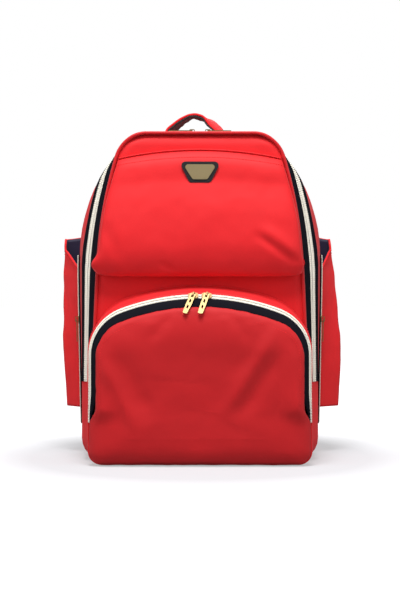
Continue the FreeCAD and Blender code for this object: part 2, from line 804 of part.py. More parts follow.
def make_back():
    """Padded back, the yoke that holds the straps, and the anchors of their lower ends."""
    pad_body = document.addObject("PartDesign::Body", "back_pad")
    depth = "0 - Sizes.back_station - 0.3 - Sizes.pad_thickness"
    outline = sketch_on(pad_body, "back_pad_outline", "XZ_Plane", depth)
    draw(outline, mirrored([(104, 34, 22), (112, 250, 90), (98, 322, 30)]))
    pad(pad_body, outline, "Sizes.pad_thickness")
    channels = sketch_on(pad_body, "back_pad_channels", "XZ_Plane",
                         "0 - Sizes.back_station - 0.3 - Sizes.pad_thickness")
    draw(channels, rectangle(10, 170, 6, (0, 178)))
    for height in (110, 180, 250):
        draw(channels, rectangle(41, 4, 3.9, (-56, height)))
        draw(channels, rectangle(41, 4, 3.9, (56, height)))
    pocket(pad_body, channels, "Sizes.pad_thickness * 0.6")
    keep(pad_body, "back_pad")

    yoke = document.addObject("PartDesign::Body", "yoke_panel")
    outline = sketch_on(yoke, "yoke_outline", "XZ_Plane", "0 - Sizes.back_station - 0.3 - 3")
    draw(outline, mirrored([(84, 336, 12), (66, 386, 16)]))
    pad(yoke, outline, "3")
    keep(yoke, "yoke_panel")

    for side, sign in SIDES.items():
        anchor = document.addObject("PartDesign::Body", f"strap_anchor_{side}")
        outline = sketch_on(anchor, f"anchor_outline_{side}", "XZ_Plane", "0 - Sizes.back_station - 0.3 - 3")
        corners = [(140, 20, 4), (140, 66, 6), (108, 33.6, 3), (108, 20, 3)]
        draw(outline, [(sign * a, b, r) for a, b, r in corners])
        pad(anchor, outline, "3")
        keep(anchor, f"strap_anchor_{side}")


def spline(points):
    """A smooth edge through points."""
    curve = Part.BSplineCurve()
    curve.interpolate(points)
    return curve.toShape()


def bowed_band(top, bottom, stand_off, bow, thickness):
    """A band seen from the side: it leaves the yoke, clears the pad and bows away from the back."""
    run = top - bottom
    route = [(BACK + 3.3 + GAP, top), (stand_off + 0.25 * bow, top - 0.22 * run),
             (stand_off + bow, top - 0.5 * run),
             (stand_off + 0.75 * bow, top - 0.78 * run), (stand_off, bottom)]
    inner = [Vector(-FAR, a, b) for a, b in route]
    outer = [Vector(-FAR, a + thickness, b) for a, b in route]
    edges = [spline(inner), Part.makeLine(inner[-1], outer[-1]), spline(outer[::-1]), Part.makeLine(outer[0], inner[0])]
    return Part.Face(Part.Wire(edges)).extrude(Vector(2 * FAR, 0, 0))


def make_straps():
    """Shoulder straps with ladder locks, and webbing down to the anchors."""
    top, bottom = size("strap_top_height"), size("strap_bottom_height")
    stand_off = size("strap_stand_off")
    thickness = size("strap_thickness")
    band = bowed_band(top, bottom, stand_off, size("strap_bow"), thickness)
    for side, sign in SIDES.items():
        place = upright(0)
        inner = [(26, top), (40, 300), (70, 210), (100, bottom)]
        outer = [(82, top), (98, 300), (118, 210), (136, bottom)]
        inner_edge = spline([place(sign * a, b) for a, b in inner])
        outer_edge = spline([place(sign * a, b) for a, b in outer[::-1]])
        low_edge = Part.makeLine(place(sign * inner[-1][0], bottom), place(sign * outer[-1][0], bottom))
        top_edge = Part.makeLine(place(sign * outer[0][0], top), place(sign * inner[0][0], top))
        plan = Part.Face(Part.Wire([inner_edge, low_edge, outer_edge, top_edge])).extrude(Vector(0, 2 * FAR, 0))
        sewn(f"shoulder_strap_{side}", plan.common(band))

        lock = document.addObject("PartDesign::Body", f"ladder_lock_{side}")
        outline = sketch_on(lock, f"lock_outline_{side}", "XZ_Plane", "0 - Sizes.lock_thickness / 2")
        half_width, half_length = size("lock_width") / 2, size("lock_length") / 2
        draw(outline, rectangle(half_width, half_length, 4))
        for height in (-half_length + 5.2, 1.0, half_length - 4.6):
            draw(outline, rectangle(half_width - 3.6, 2.2, 0.8, (0, height)))
        pad(lock, outline, "Sizes.lock_thickness")
        lock_y = stand_off + thickness / 2
        lock.Placement = Placement(Vector(sign * 119, lock_y, bottom - half_length - GAP), Rotation())
        keep(lock, f"ladder_lock_{side}")

        half_web = size("webbing_width") / 2
        web = size("webbing_thickness")
        low, high = 40.0, bottom - 2 * half_length - 2 * GAP
        start, end = (sign * 124, BACK + 3.3 + GAP), (sign * 119, lock_y - web / 2)
        sections = []
        for height, (x, y) in ((low, start), (high, end)):
            corners = [(x - half_web, y, 0), (x + half_web, y, 0), (x + half_web, y + web, 0), (x - half_web, y + web, 0)]
            sections.append(Part.Wire(rounded_edges(corners, level(height))))
        sewn(f"strap_webbing_{side}", loft(sections))


def make_handle():
    """Grab handle: a wide strap standing as an arch, its lining, and the patch that it is sewn to."""
    half, top = size("handle_foot_half"), size("handle_top_height")
    line, half_width = size("handle_line"), size("handle_width") / 2
    strap, lining = size("handle_strap_thickness"), size("handle_lining_thickness")
    deck = size("gusset_top_height") + 4.6
    front_y = line - half_width

    def arch(inset):
        """Half of the arch's outline, from a foot to the crown, moved inwards."""
        run, rise = half - size("handle_crown_half"), top - deck
        slant = math.hypot(run, rise)
        foot = half - inset * slant / rise
        crown = size("handle_crown_half") - inset * (slant - run) / rise
        return [(foot, deck, 0), (crown, top - inset, size("handle_crown_radius") - inset)]

    def band(outer, depth):
        inner = [(-a, b, radius) for a, b, radius in arch(outer + depth)]
        corners = mirrored(arch(outer)) + inner + [(-a, b, radius) for a, b, radius in reversed(inner)]
        face = Part.Face(Part.Wire(rounded_edges(corners, upright(front_y))))
        return face.extrude(Vector(0, 2 * half_width, 0))

    centre = deck + half_width
    foot = Part.makeCylinder(half_width, 200, Vector(-100, line, centre), Vector(1, 0, 0))
    standing = foot.fuse(block((-100, 100), (front_y, line + half_width), (centre, 600)))
    sewn("handle_strap", band(0, strap).common(standing))
    sewn("handle_lining", band(strap + 0.1, lining).common(standing))
    seat = skin_ring(front_y - 4, line + half_width + 4, -1.2, -0.2)
    sewn("handle_seat", seat.common(block((-half - 12, half + 12), (-FAR, FAR), (380, 430))))


make_shell()
make_stiffeners()
make_front_wall()
make_piping()
make_main_zip()
make_lid()
make_badge()
make_front_pocket()
make_side_zips()
make_side_pockets()
make_hardware()
make_back()
make_straps()
make_handle()
document.recompute()

for thing in document.Objects:
    if "Invalid" in thing.State or "Error" in thing.State:
        raise RuntimeError(f"{thing.Label} did not compute: {thing.State}")
os.makedirs("parts", exist_ok=True)
for node in nodes:
    if node.Shape.isNull() or not node.Shape.isValid():
        raise RuntimeError(f"{node.Label} has no valid shape")
    if not node.Shape.Solids:
        raise RuntimeError(f"{node.Label} holds no solid")
for node in nodes:
    node.Shape.exportStep(f"parts/{node.Label}.step")
print(f"{len(nodes)} nodes")
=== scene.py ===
"""Visual model of a wide-opening utility backpack, dressed round its CAD frame.

Forms are written in millimetres and become metres when a mesh is made. The frame is the CAD frame: the origin
is the centre of the base, -Y is the front, +X is the viewer's right and +Z is up.
"""
import logging
import math
from dataclasses import dataclass, field
from enum import Enum
from typing import Callable, Optional, Sequence

import bmesh
import bpy
import numpy as np
from mathutils import Matrix, Vector, noise


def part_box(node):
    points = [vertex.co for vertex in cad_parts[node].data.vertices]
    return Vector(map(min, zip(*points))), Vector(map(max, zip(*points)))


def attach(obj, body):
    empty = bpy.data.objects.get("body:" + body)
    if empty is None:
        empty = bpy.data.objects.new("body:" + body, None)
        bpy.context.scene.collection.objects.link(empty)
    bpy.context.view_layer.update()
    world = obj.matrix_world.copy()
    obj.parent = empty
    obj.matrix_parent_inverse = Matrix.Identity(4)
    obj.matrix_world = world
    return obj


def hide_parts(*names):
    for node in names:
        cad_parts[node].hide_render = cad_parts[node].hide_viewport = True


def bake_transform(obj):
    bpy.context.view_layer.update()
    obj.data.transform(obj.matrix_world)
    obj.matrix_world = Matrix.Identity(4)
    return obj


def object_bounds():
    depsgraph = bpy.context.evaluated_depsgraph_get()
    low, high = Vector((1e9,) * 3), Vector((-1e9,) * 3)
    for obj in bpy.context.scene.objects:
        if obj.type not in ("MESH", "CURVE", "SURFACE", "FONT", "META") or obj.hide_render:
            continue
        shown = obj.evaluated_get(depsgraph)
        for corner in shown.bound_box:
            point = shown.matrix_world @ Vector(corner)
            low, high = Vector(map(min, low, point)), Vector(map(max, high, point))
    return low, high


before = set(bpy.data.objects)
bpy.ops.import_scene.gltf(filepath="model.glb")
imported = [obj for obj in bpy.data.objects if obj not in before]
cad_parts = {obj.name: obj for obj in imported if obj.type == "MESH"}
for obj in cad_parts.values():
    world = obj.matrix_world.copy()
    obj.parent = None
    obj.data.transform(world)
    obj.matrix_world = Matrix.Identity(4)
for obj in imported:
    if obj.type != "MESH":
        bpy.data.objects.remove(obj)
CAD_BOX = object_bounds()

log = logging.getLogger("backpack")
MM = 0.001
SIDES = {"left": -1, "right": 1}
Point2 = tuple[float, float]
Point3 = tuple[float, float, float]
SPOTS = 28.0
THREAD_SPOTS = 900.0
DOUBLED = 1e-5
CLOTH_FRAMES = 16
STITCH_PITCH = 3.4
STITCH_SIZE = (1.25, 0.32, 0.26)
COIL_PITCH = 1.9
ODD_SIZE = 0.03


# ------------------------------------------------------------------ finishes


class Layout(Enum):
    """Where a finish reads its pattern from."""

    OBJECT = "Object"
    SURFACE = "UV"


@dataclass(frozen=True)
class Finish:
    """A material slot of the record, with the look that stands for it.

    Attributes:
        name: Name of the material.
        slot: Slot of the record; not used.
        color: Linear base colour.
        roughness: Roughness of the surface.
        metallic: 1 for bare metal.
        sheen: Strength of the fabric's sheen.
        weave: Spacing of the threads or ribs in millimetres, 0 for none.
        ribs: True when only one direction of threads shows.
        relief: Height of the weave's relief in millimetres.
        mottle: How far the colour wanders.
        coat: Weight of a clear coat.
        layout: Where its pattern is read from.
        shine: Strength of the plain reflection.
    """

    name: str
    slot: str
    color: Point3
    roughness: float = 0.7
    metallic: float = 0.0
    sheen: float = 0.0
    weave: float = 0.0
    ribs: bool = False
    relief: float = 0.05
    mottle: float = 0.05
    coat: float = 0.0
    layout: Layout = Layout.SURFACE
    shine: float = 0.28

    def material(self) -> bpy.types.Material:
        """The material, made once.

        Returns:
            The material.
        """
        known = bpy.data.materials.get(self.name)
        if known:
            return known
        material = bpy.data.materials.new(self.name)
        material.use_nodes = True
        tree = material.node_tree
        shader = tree.nodes["Principled BSDF"]
        shader.inputs["Base Color"].default_value = (*self.color, 1.0)
        shader.inputs["Roughness"].default_value = self.roughness
        shader.inputs["Metallic"].default_value = self.metallic
        shader.inputs["Sheen Weight"].default_value = self.sheen
        shader.inputs["Sheen Roughness"].default_value = 0.5
        shader.inputs["Specular IOR Level"].default_value = self.shine
        shader.inputs["Coat Weight"].default_value = self.coat
        coordinates = tree.nodes.new("ShaderNodeTexCoord")
        self._mottle(tree, coordinates, shader)
        if self.weave:
            self._weave(tree, coordinates, shader)
        return material

    def _mottle(self, tree: bpy.types.NodeTree, coordinates: bpy.types.Node, shader: bpy.types.Node) -> None:
        """Lets the colour and the roughness wander a little, coarsely and at thread size.

        Args:
            tree: The material's nodes.
            coordinates: Node that gives the places.
            shader: Shader that takes the outcome.
        """
        wire = tree.links.new
        coarse = tree.nodes.new("ShaderNodeTexNoise")
        coarse.inputs["Scale"].default_value = SPOTS
        coarse.inputs["Detail"].default_value = 4.0
        fine = tree.nodes.new("ShaderNodeTexNoise")
        fine.inputs["Scale"].default_value = THREAD_SPOTS
        fine.inputs["Detail"].default_value = 2.0
        blend = tree.nodes.new("ShaderNodeMix")
        blend.data_type = "FLOAT"
        blend.inputs[0].default_value = 0.55
        ramp = tree.nodes.new("ShaderNodeMapRange")
        ramp.inputs["From Min"].default_value = 0.3
        ramp.inputs["From Max"].default_value = 0.7
        ramp.inputs["To Min"].default_value = 1.0 - self.mottle
        ramp.inputs["To Max"].default_value = 1.0 + self.mottle
        tint = tree.nodes.new("ShaderNodeHueSaturation")
        tint.inputs["Color"].default_value = (*self.color, 1.0)
        for source in (coarse, fine):
            wire(coordinates.outputs["Object"], source.inputs["Vector"])
        wire(coarse.outputs["Fac"], blend.inputs[2])
        wire(fine.outputs["Fac"], blend.inputs[3])
        wire(blend.outputs[0], ramp.inputs["Value"])
        wire(ramp.outputs["Result"], tint.inputs["Value"])
        wire(tint.outputs["Color"], shader.inputs["Base Color"])

    def _weave(self, tree: bpy.types.NodeTree, coordinates: bpy.types.Node, shader: bpy.types.Node) -> None:
        """Adds threads as relief.

        Args:
            tree: The material's nodes.
            coordinates: Node that gives the places.
            shader: Shader that takes the outcome.
        """
        wire = tree.links.new
        waves = []
        for direction in ("X", "Y")[: 1 if self.ribs else 2]:
            wave = tree.nodes.new("ShaderNodeTexWave")
            wave.wave_type = "BANDS"
            wave.bands_direction = direction
            wave.inputs["Scale"].default_value = 2.0 * math.pi / (20.0 * self.weave * MM)
            wave.inputs["Distortion"].default_value = 0.6
            wave.inputs["Detail"].default_value = 0.0
            wire(coordinates.outputs[self.layout.value], wave.inputs["Vector"])
            waves.append(wave)
        height = waves[0].outputs["Fac"]
        if len(waves) == 2:
            joined = tree.nodes.new("ShaderNodeMath")
            joined.operation = "ADD"
            wire(waves[0].outputs["Fac"], joined.inputs[0])
            wire(waves[1].outputs["Fac"], joined.inputs[1])
            height = joined.outputs[0]
        bump = tree.nodes.new("ShaderNodeBump")
        bump.inputs["Strength"].default_value = 0.5
        bump.inputs["Distance"].default_value = self.relief * MM
        wire(height, bump.inputs["Height"])
        wire(bump.outputs["Normal"], shader.inputs["Normal"])


# The flap's red is the same cloth as RED, made darker to paint the shade that falls on the lower front flap.
RED_PAINTED_SHADE = Finish("red_polyester_painted_shade", "red_fabric", (0.53, 0.007, 0.010), 0.64, sheen=0.05, weave=0.9)
RED = Finish("red_polyester", "red_fabric", (0.74, 0.010, 0.014), 0.62, sheen=0.05, weave=0.9)
PIPING = Finish("red_piping_cord", "red_piping", (0.58, 0.008, 0.012), 0.5, sheen=0.1, weave=1.1, ribs=True)
TAPE = Finish("black_zip_tape", "black_tape", (0.006, 0.006, 0.010), 0.85, weave=0.8, ribs=True,
              relief=0.08, shine=0.08)
CREAM = Finish("cream_teeth", "cream_coil", (0.90, 0.86, 0.75), 0.42, mottle=0.03, coat=0.15)
GOLD = Finish("gold_plating", "gold_metal", (0.32, 0.225, 0.105), 0.5, metallic=1.0, mottle=0.04, shine=0.5)
BRASS = Finish("brass_plate", "gold_metal", (0.86, 0.68, 0.36), 0.34, metallic=1.0, mottle=0.04, shine=0.5)
RUBBER = Finish("black_rubber_patch", "black_rubber", (0.012, 0.012, 0.014), 0.5, shine=0.4)
NAVY = Finish("navy_lining_cloth", "navy_lining", (0.012, 0.011, 0.036), 0.6, sheen=0.05, weave=0.6,
              relief=0.03)
DARK = Finish("black_polyester", "dark_fabric", (0.014, 0.014, 0.018), 0.75, sheen=0.2, weave=0.9,
              relief=0.06)
MESH_BLOCK = Finish("black_spacer_mesh_pads", "black_mesh", (0.020, 0.020, 0.023), 0.85, sheen=0.3, weave=2.4,
                    relief=0.4, layout=Layout.OBJECT)
WEBBING = Finish("black_strap_webbing", "black_webbing", (0.014, 0.014, 0.016), 0.6, sheen=0.2, weave=1.5,
                 ribs=True, relief=0.2)
ACETAL = Finish("black_acetal", "black_plastic", (0.014, 0.014, 0.015), 0.34, mottle=0.02)
BOARD = Finish("grey_board_sheet", "grey_board", (0.22, 0.22, 0.23), 0.6)


# ------------------------------------------------------------------ meshes


def lengths(points: np.ndarray) -> np.ndarray:
    """Distance run along a line of points, from 0."""
    steps = np.linalg.norm(np.diff(points, axis=0), axis=1)
    return np.concatenate([[0.0], np.cumsum(steps)])


def resample(points: np.ndarray, count: int) -> np.ndarray:
    """A line of points at even steps.

    Args:
        points: Line, one point in each row.
        count: Number of points wanted.

    Returns:
        The new line.
    """
    run = lengths(points)
    places = np.linspace(0.0, run[-1], count)
    return np.stack([np.interp(places, run, points[:, axis]) for axis in range(points.shape[1])], axis=1)


def smoothed(points: np.ndarray, rounds: int = 2) -> np.ndarray:
    """An open line with its corners cut off, ends kept.

    Args:
        points: Points, one in each row.
        rounds: How often the corners are cut.

    Returns:
        The new line.
    """
    for _ in range(rounds):
        near = 0.75 * points[:-1] + 0.25 * points[1:]
        far = 0.25 * points[:-1] + 0.75 * points[1:]
        between = np.stack([near, far], axis=1).reshape(-1, points.shape[1])
        points = np.concatenate([points[:1], between, points[-1:]])
    return points


def ease(value: np.ndarray) -> np.ndarray:
    """Smooth step from 0 to 1."""
    value = np.clip(value, 0.0, 1.0)
    return value * value * (3.0 - 2.0 * value)


def smooth_step(value: float) -> float:
    """The same smooth step for a single value."""
    return float(ease(np.array(value)))


def circle(count: int) -> np.ndarray:
    """Even turns once round."""
    return np.linspace(0.0, 2.0 * math.pi, count + 1)[:-1]


def mirrored(half: list[Point3]) -> list[Point3]:
    """Corners of the right side, then those of the left side."""
    return half + [(-across, height, radius) for across, height, radius in reversed(half)]


def link(name: str, mesh: bpy.types.Mesh) -> bpy.types.Object:
    """A named object for a mesh, in the scene.

    Args:
        name: Name of the object.
        mesh: Its mesh.

    Returns:
        The object.
    """
    thing = bpy.data.objects.new(name, mesh)
    bpy.context.scene.collection.objects.link(thing)
    return thing


def grid(name: str, points: np.ndarray, round_rows: bool = False, round_columns: bool = False,
         caps: bool = False, flip: bool = False) -> bpy.types.Object:
    """A smooth surface through rows and columns of points.

    Args:
        name: Name of the object.
        points: Array of (rows, columns, 3) in millimetres.
        round_rows: The last row joins the first.
        round_columns: The last column joins the first.
        caps: The first and the last column are closed with a face; used with round_rows.
        flip: Turns the faces to the other side.

    Returns:
        The object, with UV coordinates in metres.
    """
    rows, columns = points.shape[:2]
    last_row, last_column = rows - (not round_rows), columns - (not round_columns)
    faces, face_uvs = [], []
    middle_row, middle_column = points[rows // 2], points[:, columns // 2]
    across = lengths(np.concatenate([middle_row, middle_row[:1]])) * MM
    along = lengths(np.concatenate([middle_column, middle_column[:1]])) * MM
    for i in range(last_row):
        for j in range(last_column):
            k, m = (i + 1) % rows, (j + 1) % columns
            faces.append((i * columns + j, i * columns + m, k * columns + m, k * columns + j))
            face_uvs += [(across[j], along[i]), (across[j + 1], along[i]), (across[j + 1], along[i + 1]),
                         (across[j], along[i + 1])]
    if caps:
        for j, order in ((0, 1), (columns - 1, -1)):
            faces.append(tuple(i * columns + j for i in range(rows))[::order])
            face_uvs += [(0.0, 0.0)] * rows
    mesh = bpy.data.meshes.new(name)
    mesh.from_pydata((points.reshape(-1, 3) * MM).tolist(), [], faces)
    layer = mesh.uv_layers.new(name="surface")
    layer.data.foreach_set("uv", np.array(face_uvs, dtype=np.float32).ravel())
    if flip:
        mesh.flip_normals()
    mesh.shade_smooth()
    return link(name, mesh)


def settle(thing: bpy.types.Object) -> bpy.types.Object:
    """Makes the outcome of an object's modifiers its own mesh.

    Args:
        thing: The piece.

    Returns:
        The same object.
    """
    graph = bpy.context.evaluated_depsgraph_get()
    ready = thing.evaluated_get(graph)
    mesh = bpy.data.meshes.new_from_object(ready, preserve_all_data_layers=True, depsgraph=graph)
    old = thing.data
    thing.modifiers.clear()
    thing.data = mesh
    mesh.name = thing.name
    bpy.data.meshes.remove(old)
    return thing


def outward(thing: bpy.types.Object) -> bpy.types.Object:
    """Turns the faces of a closed mesh outwards and joins doubled points.

    Args:
        thing: The piece.

    Returns:
        The same object.
    """
    work = bmesh.new()
    work.from_mesh(thing.data)
    bmesh.ops.remove_doubles(work, verts=work.verts, dist=DOUBLED)
    bmesh.ops.recalc_face_normals(work, faces=work.faces)
    work.to_mesh(thing.data)
    work.free()
    thing.data.shade_smooth()
    return thing


def weld(thing: bpy.types.Object) -> bpy.types.Object:
    """Joins doubled points, as where a surface closes on its core line.

    Args:
        thing: The piece.

    Returns:
        The same object.
    """
    work = bmesh.new()
    work.from_mesh(thing.data)
    bmesh.ops.remove_doubles(work, verts=work.verts, dist=2 * DOUBLED)
    work.to_mesh(thing.data)
    work.free()
    return thing


def thicken(thing: bpy.types.Object, thickness: float, inner: Optional[Finish] = None,
            finish: Optional[Finish] = None, side: float = -1.0) -> bpy.types.Object:
    """Gives a surface a thickness, with its own finish and another on its inner side.

    Args:
        thing: Surface with its faces turned outwards.
        thickness: Millimetres.
        inner: Finish of the inner side, or None for the same.
        finish: Finish of the outer side.
        side: -1 to grow inwards, 1 outwards, 0 both ways.

    Returns:
        The same object.
    """
    if finish:
        thing.data.materials.append(finish.material())
    if inner:
        thing.data.materials.append(inner.material())
    shell = thing.modifiers.new("thickness", "SOLIDIFY")
    shell.thickness = thickness * MM
    shell.offset = side
    shell.use_even_offset = False
    if inner:
        shell.material_offset = 1
    return settle(thing)


def subdivide(thing: bpy.types.Object, levels: int = 1) -> bpy.types.Object:
    """One or more rounds of smooth subdivision.

    Args:
        thing: The piece.
        levels: Rounds of subdivision.

    Returns:
        The same object.
    """
    modifier = thing.modifiers.new("smooth", "SUBSURF")
    modifier.levels = levels
    modifier.render_levels = levels
    return settle(thing)


def wear(thing: bpy.types.Object, finish: Finish, body: str, *nodes: str) -> bpy.types.Object:
    """Gives a piece its finish, its body and the CAD nodes that it stands for.

    Args:
        thing: The piece.
        finish: Its finish; kept as it is where it has materials already.
        body: CAD body that it rides on.
        nodes: CAD nodes that it replaces.

    Returns:
        The same piece.
    """
    if not thing.data.materials:
        thing.data.materials.append(finish.material())
    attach(thing, body)
    if nodes:
        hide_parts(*nodes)
    log.info("%s: %d faces on %s", thing.name, len(thing.data.polygons), body)
    return thing


def wear_across(thing: bpy.types.Object, finish: Finish, bodies: tuple[str, str], start: Point3, end: Point3,
                *nodes: str) -> bpy.types.Object:
    """As wear, for a piece that lies across two bodies, whose transform is only baked; start and end are in
    metres.

    Args:
        thing: The piece.
        finish: Its finish.
        bodies: The two bodies.
        start: Start of its span across the bodies, in metres; not used.
        end: End of that span, in metres; not used.
        nodes: CAD nodes that it replaces.

    Returns:
        The same piece.
    """
    if not thing.data.materials:
        thing.data.materials.append(finish.material())
    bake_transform(thing)
    if nodes:
        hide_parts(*nodes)
    log.info("%s: %d faces across %s", thing.name, len(thing.data.polygons), bodies)
    return thing


def wrinkle(point: Sequence[float], scale: float, seed: float, depth: int = 3) -> float:
    """Smooth noise between about -1 and 1 at a point given in millimetres."""
    place = Vector((point[0] / scale + seed, point[1] / scale - seed, point[2] / scale + 2.3 * seed))
    return noise.fractal(place, 1.0, 2.0, depth)


def wrinkles(x: np.ndarray, z: np.ndarray, scale: float, seed: float, depth: int = 3) -> np.ndarray:
    """The same noise for rows of places (x, z) on an upright face."""
    return np.array([[wrinkle((across, 0.0, height), scale, seed, depth) for across, height in zip(*rows)]
                     for rows in zip(x, z)])


@dataclass(frozen=True)
class Fold:
    """A soft fold along a line on an upright face, fading at both ends.

    Attributes:
        start: One end of the fold, as (x, z) in millimetres.
        end: The other end.
        width: Half width of the fold.
        height: Its height, negative for a valley.
    """

    start: Point2
    end: Point2
    width: float
    height: float

    def rise(self, x: np.ndarray, z: np.ndarray) -> np.ndarray:
        """How far the fold stands out.

        Args:
            x: Places across, in millimetres.
            z: Heights.

        Returns:
            Its height at each place.
        """
        dx, dz = self.end[0] - self.start[0], self.end[1] - self.start[1]
        run = math.hypot(dx, dz)
        along = ((x - self.start[0]) * dx + (z - self.start[1]) * dz) / run
        off = ((x - self.start[0]) * dz - (z - self.start[1]) * dx) / run
        fade = ease(along / (0.3 * run)) * ease((run - along) / (0.3 * run))
        return self.height * fade * np.exp(-((off / self.width) ** 2))


# ------------------------------------------------------------------ repeats


def repeat_tree() -> bpy.types.NodeTree:
    """Geometry Nodes group that sets one bead after another along a line of edges.

    Its inputs are Spacing, Size, Jitter, Seed and Material; a vertex attribute named facing gives the outward
    side.

    Returns:
        The node group, made once.
    """
    known = bpy.data.node_groups.get("beads_along_line")
    if known:
        return known
    tree = bpy.data.node_groups.new("beads_along_line", "GeometryNodeTree")
    for name, kind in (("Geometry", "NodeSocketGeometry"), ("Spacing", "NodeSocketFloat"),
                       ("Size", "NodeSocketVector"), ("Jitter", "NodeSocketFloat"), ("Seed", "NodeSocketInt"),
                       ("Material", "NodeSocketMaterial")):
        tree.interface.new_socket(name, in_out="INPUT", socket_type=kind)
    tree.interface.new_socket("Geometry", in_out="OUTPUT", socket_type="NodeSocketGeometry")
    new, wire = tree.nodes.new, tree.links.new
    given, result = new("NodeGroupInput"), new("NodeGroupOutput")
    curve = new("GeometryNodeMeshToCurve")
    even = new("GeometryNodeResampleCurve")
    even.mode = "LENGTH"
    facing = new("GeometryNodeInputNamedAttribute")
    facing.data_type = "FLOAT_VECTOR"
    facing.inputs["Name"].default_value = "facing"
    tangent = new("GeometryNodeInputTangent")
    turn = new("FunctionNodeAxesToRotation")
    turn.primary_axis = "X"
    turn.secondary_axis = "Z"
    bead = new("GeometryNodeMeshUVSphere")
    bead.inputs["Segments"].default_value = 8
    bead.inputs["Rings"].default_value = 5
    bead.inputs["Radius"].default_value = 1.0
    sized = new("GeometryNodeTransform")
    place = new("GeometryNodeInstanceOnPoints")
    random = new("FunctionNodeRandomValue")
    random.data_type = "FLOAT"
    spread = new("ShaderNodeMath")
    spread.operation = "MULTIPLY_ADD"
    real = new("GeometryNodeRealizeInstances")
    smooth = new("GeometryNodeSetShadeSmooth")
    finish = new("GeometryNodeSetMaterial")
    wire(given.outputs["Geometry"], curve.inputs["Mesh"])
    wire(curve.outputs["Curve"], even.inputs["Curve"])
    wire(given.outputs["Spacing"], even.inputs["Length"])
    wire(tangent.outputs["Tangent"], turn.inputs["Primary Axis"])
    wire(facing.outputs["Attribute"], turn.inputs["Secondary Axis"])
    wire(bead.outputs["Mesh"], sized.inputs["Geometry"])
    wire(given.outputs["Size"], sized.inputs["Scale"])
    wire(even.outputs["Curve"], place.inputs["Points"])
    wire(sized.outputs["Geometry"], place.inputs["Instance"])
    wire(turn.outputs["Rotation"], place.inputs["Rotation"])
    random.inputs[2].default_value = -1.0
    random.inputs[3].default_value = 1.0
    wire(given.outputs["Seed"], random.inputs["Seed"])
    wire(random.outputs[1], spread.inputs[0])
    wire(given.outputs["Jitter"], spread.inputs[1])
    spread.inputs[2].default_value = 1.0
    wire(spread.outputs[0], place.inputs["Scale"])
    wire(place.outputs["Instances"], real.inputs["Geometry"])
    wire(real.outputs["Geometry"], smooth.inputs["Geometry"])
    wire(smooth.outputs["Geometry"], finish.inputs["Geometry"])
    wire(given.outputs["Material"], finish.inputs["Material"])
    wire(finish.outputs["Geometry"], result.inputs["Geometry"])
    return tree


def beads(name: str, lines: Sequence[np.ndarray], facings: Sequence[np.ndarray], spacing: float, size: Point3,
          finish: Finish, jitter: float = 0.0, seed: int = 7) -> bpy.types.Object:
    """One bead after another along one or more lines, as a plain mesh.

    Args:
        name: Name of the object.
        lines: Lines of points in millimetres.
        facings: For each line, the outward direction at each point.
        spacing: Distance from bead to bead in millimetres.
        size: Half sizes of a bead along, across and outwards, in millimetres.
        finish: Finish of the beads.
        jitter: Share by which their size varies.
        seed: Seed of that variation.

    Returns:
        The beads as one object.
    """
    points = np.concatenate(lines)
    edges, start = [], 0
    for line in lines:
        edges += [(start + i, start + i + 1) for i in range(len(line) - 1)]
        start += len(line)
    mesh = bpy.data.meshes.new(name)
    mesh.from_pydata((points * MM).tolist(), edges, [])
    attribute = mesh.attributes.new("facing", "FLOAT_VECTOR", "POINT")
    attribute.data.foreach_set("vector", np.concatenate(facings).astype(np.float32).ravel())
    thing = link(name, mesh)
    modifier = thing.modifiers.new("beads", "NODES")
    modifier.node_group = repeat_tree()
    values = {"Spacing": spacing * MM, "Size": [value * MM for value in size], "Jitter": jitter, "Seed": seed,
              "Material": finish.material()}
    for item in modifier.node_group.interface.items_tree:
        if item.item_type == "SOCKET" and item.in_out == "INPUT" and item.name in values:
            modifier[item.identifier] = values[item.name]
    settle(thing)
    if not thing.data.materials:
        thing.data.materials.append(finish.material())
    return thing


def stitches(name: str, lines: Sequence[np.ndarray], facings: Sequence[np.ndarray], finish: Finish,
             lift: float = 0.1) -> bpy.types.Object:
    """A row of sewn stitches just proud of the fabric, on each line."""
    raised = [line + facing * lift for line, facing in zip(lines, facings)]
    return beads(name, raised, facings, STITCH_PITCH, STITCH_SIZE, finish, 0.12)


def steady(direction: Point3, count: int) -> np.ndarray:
    """The same direction at every point of a line."""
    return np.tile(np.array(direction, dtype=float), (count, 1))


# ------------------------------------------------------------------ soft forms


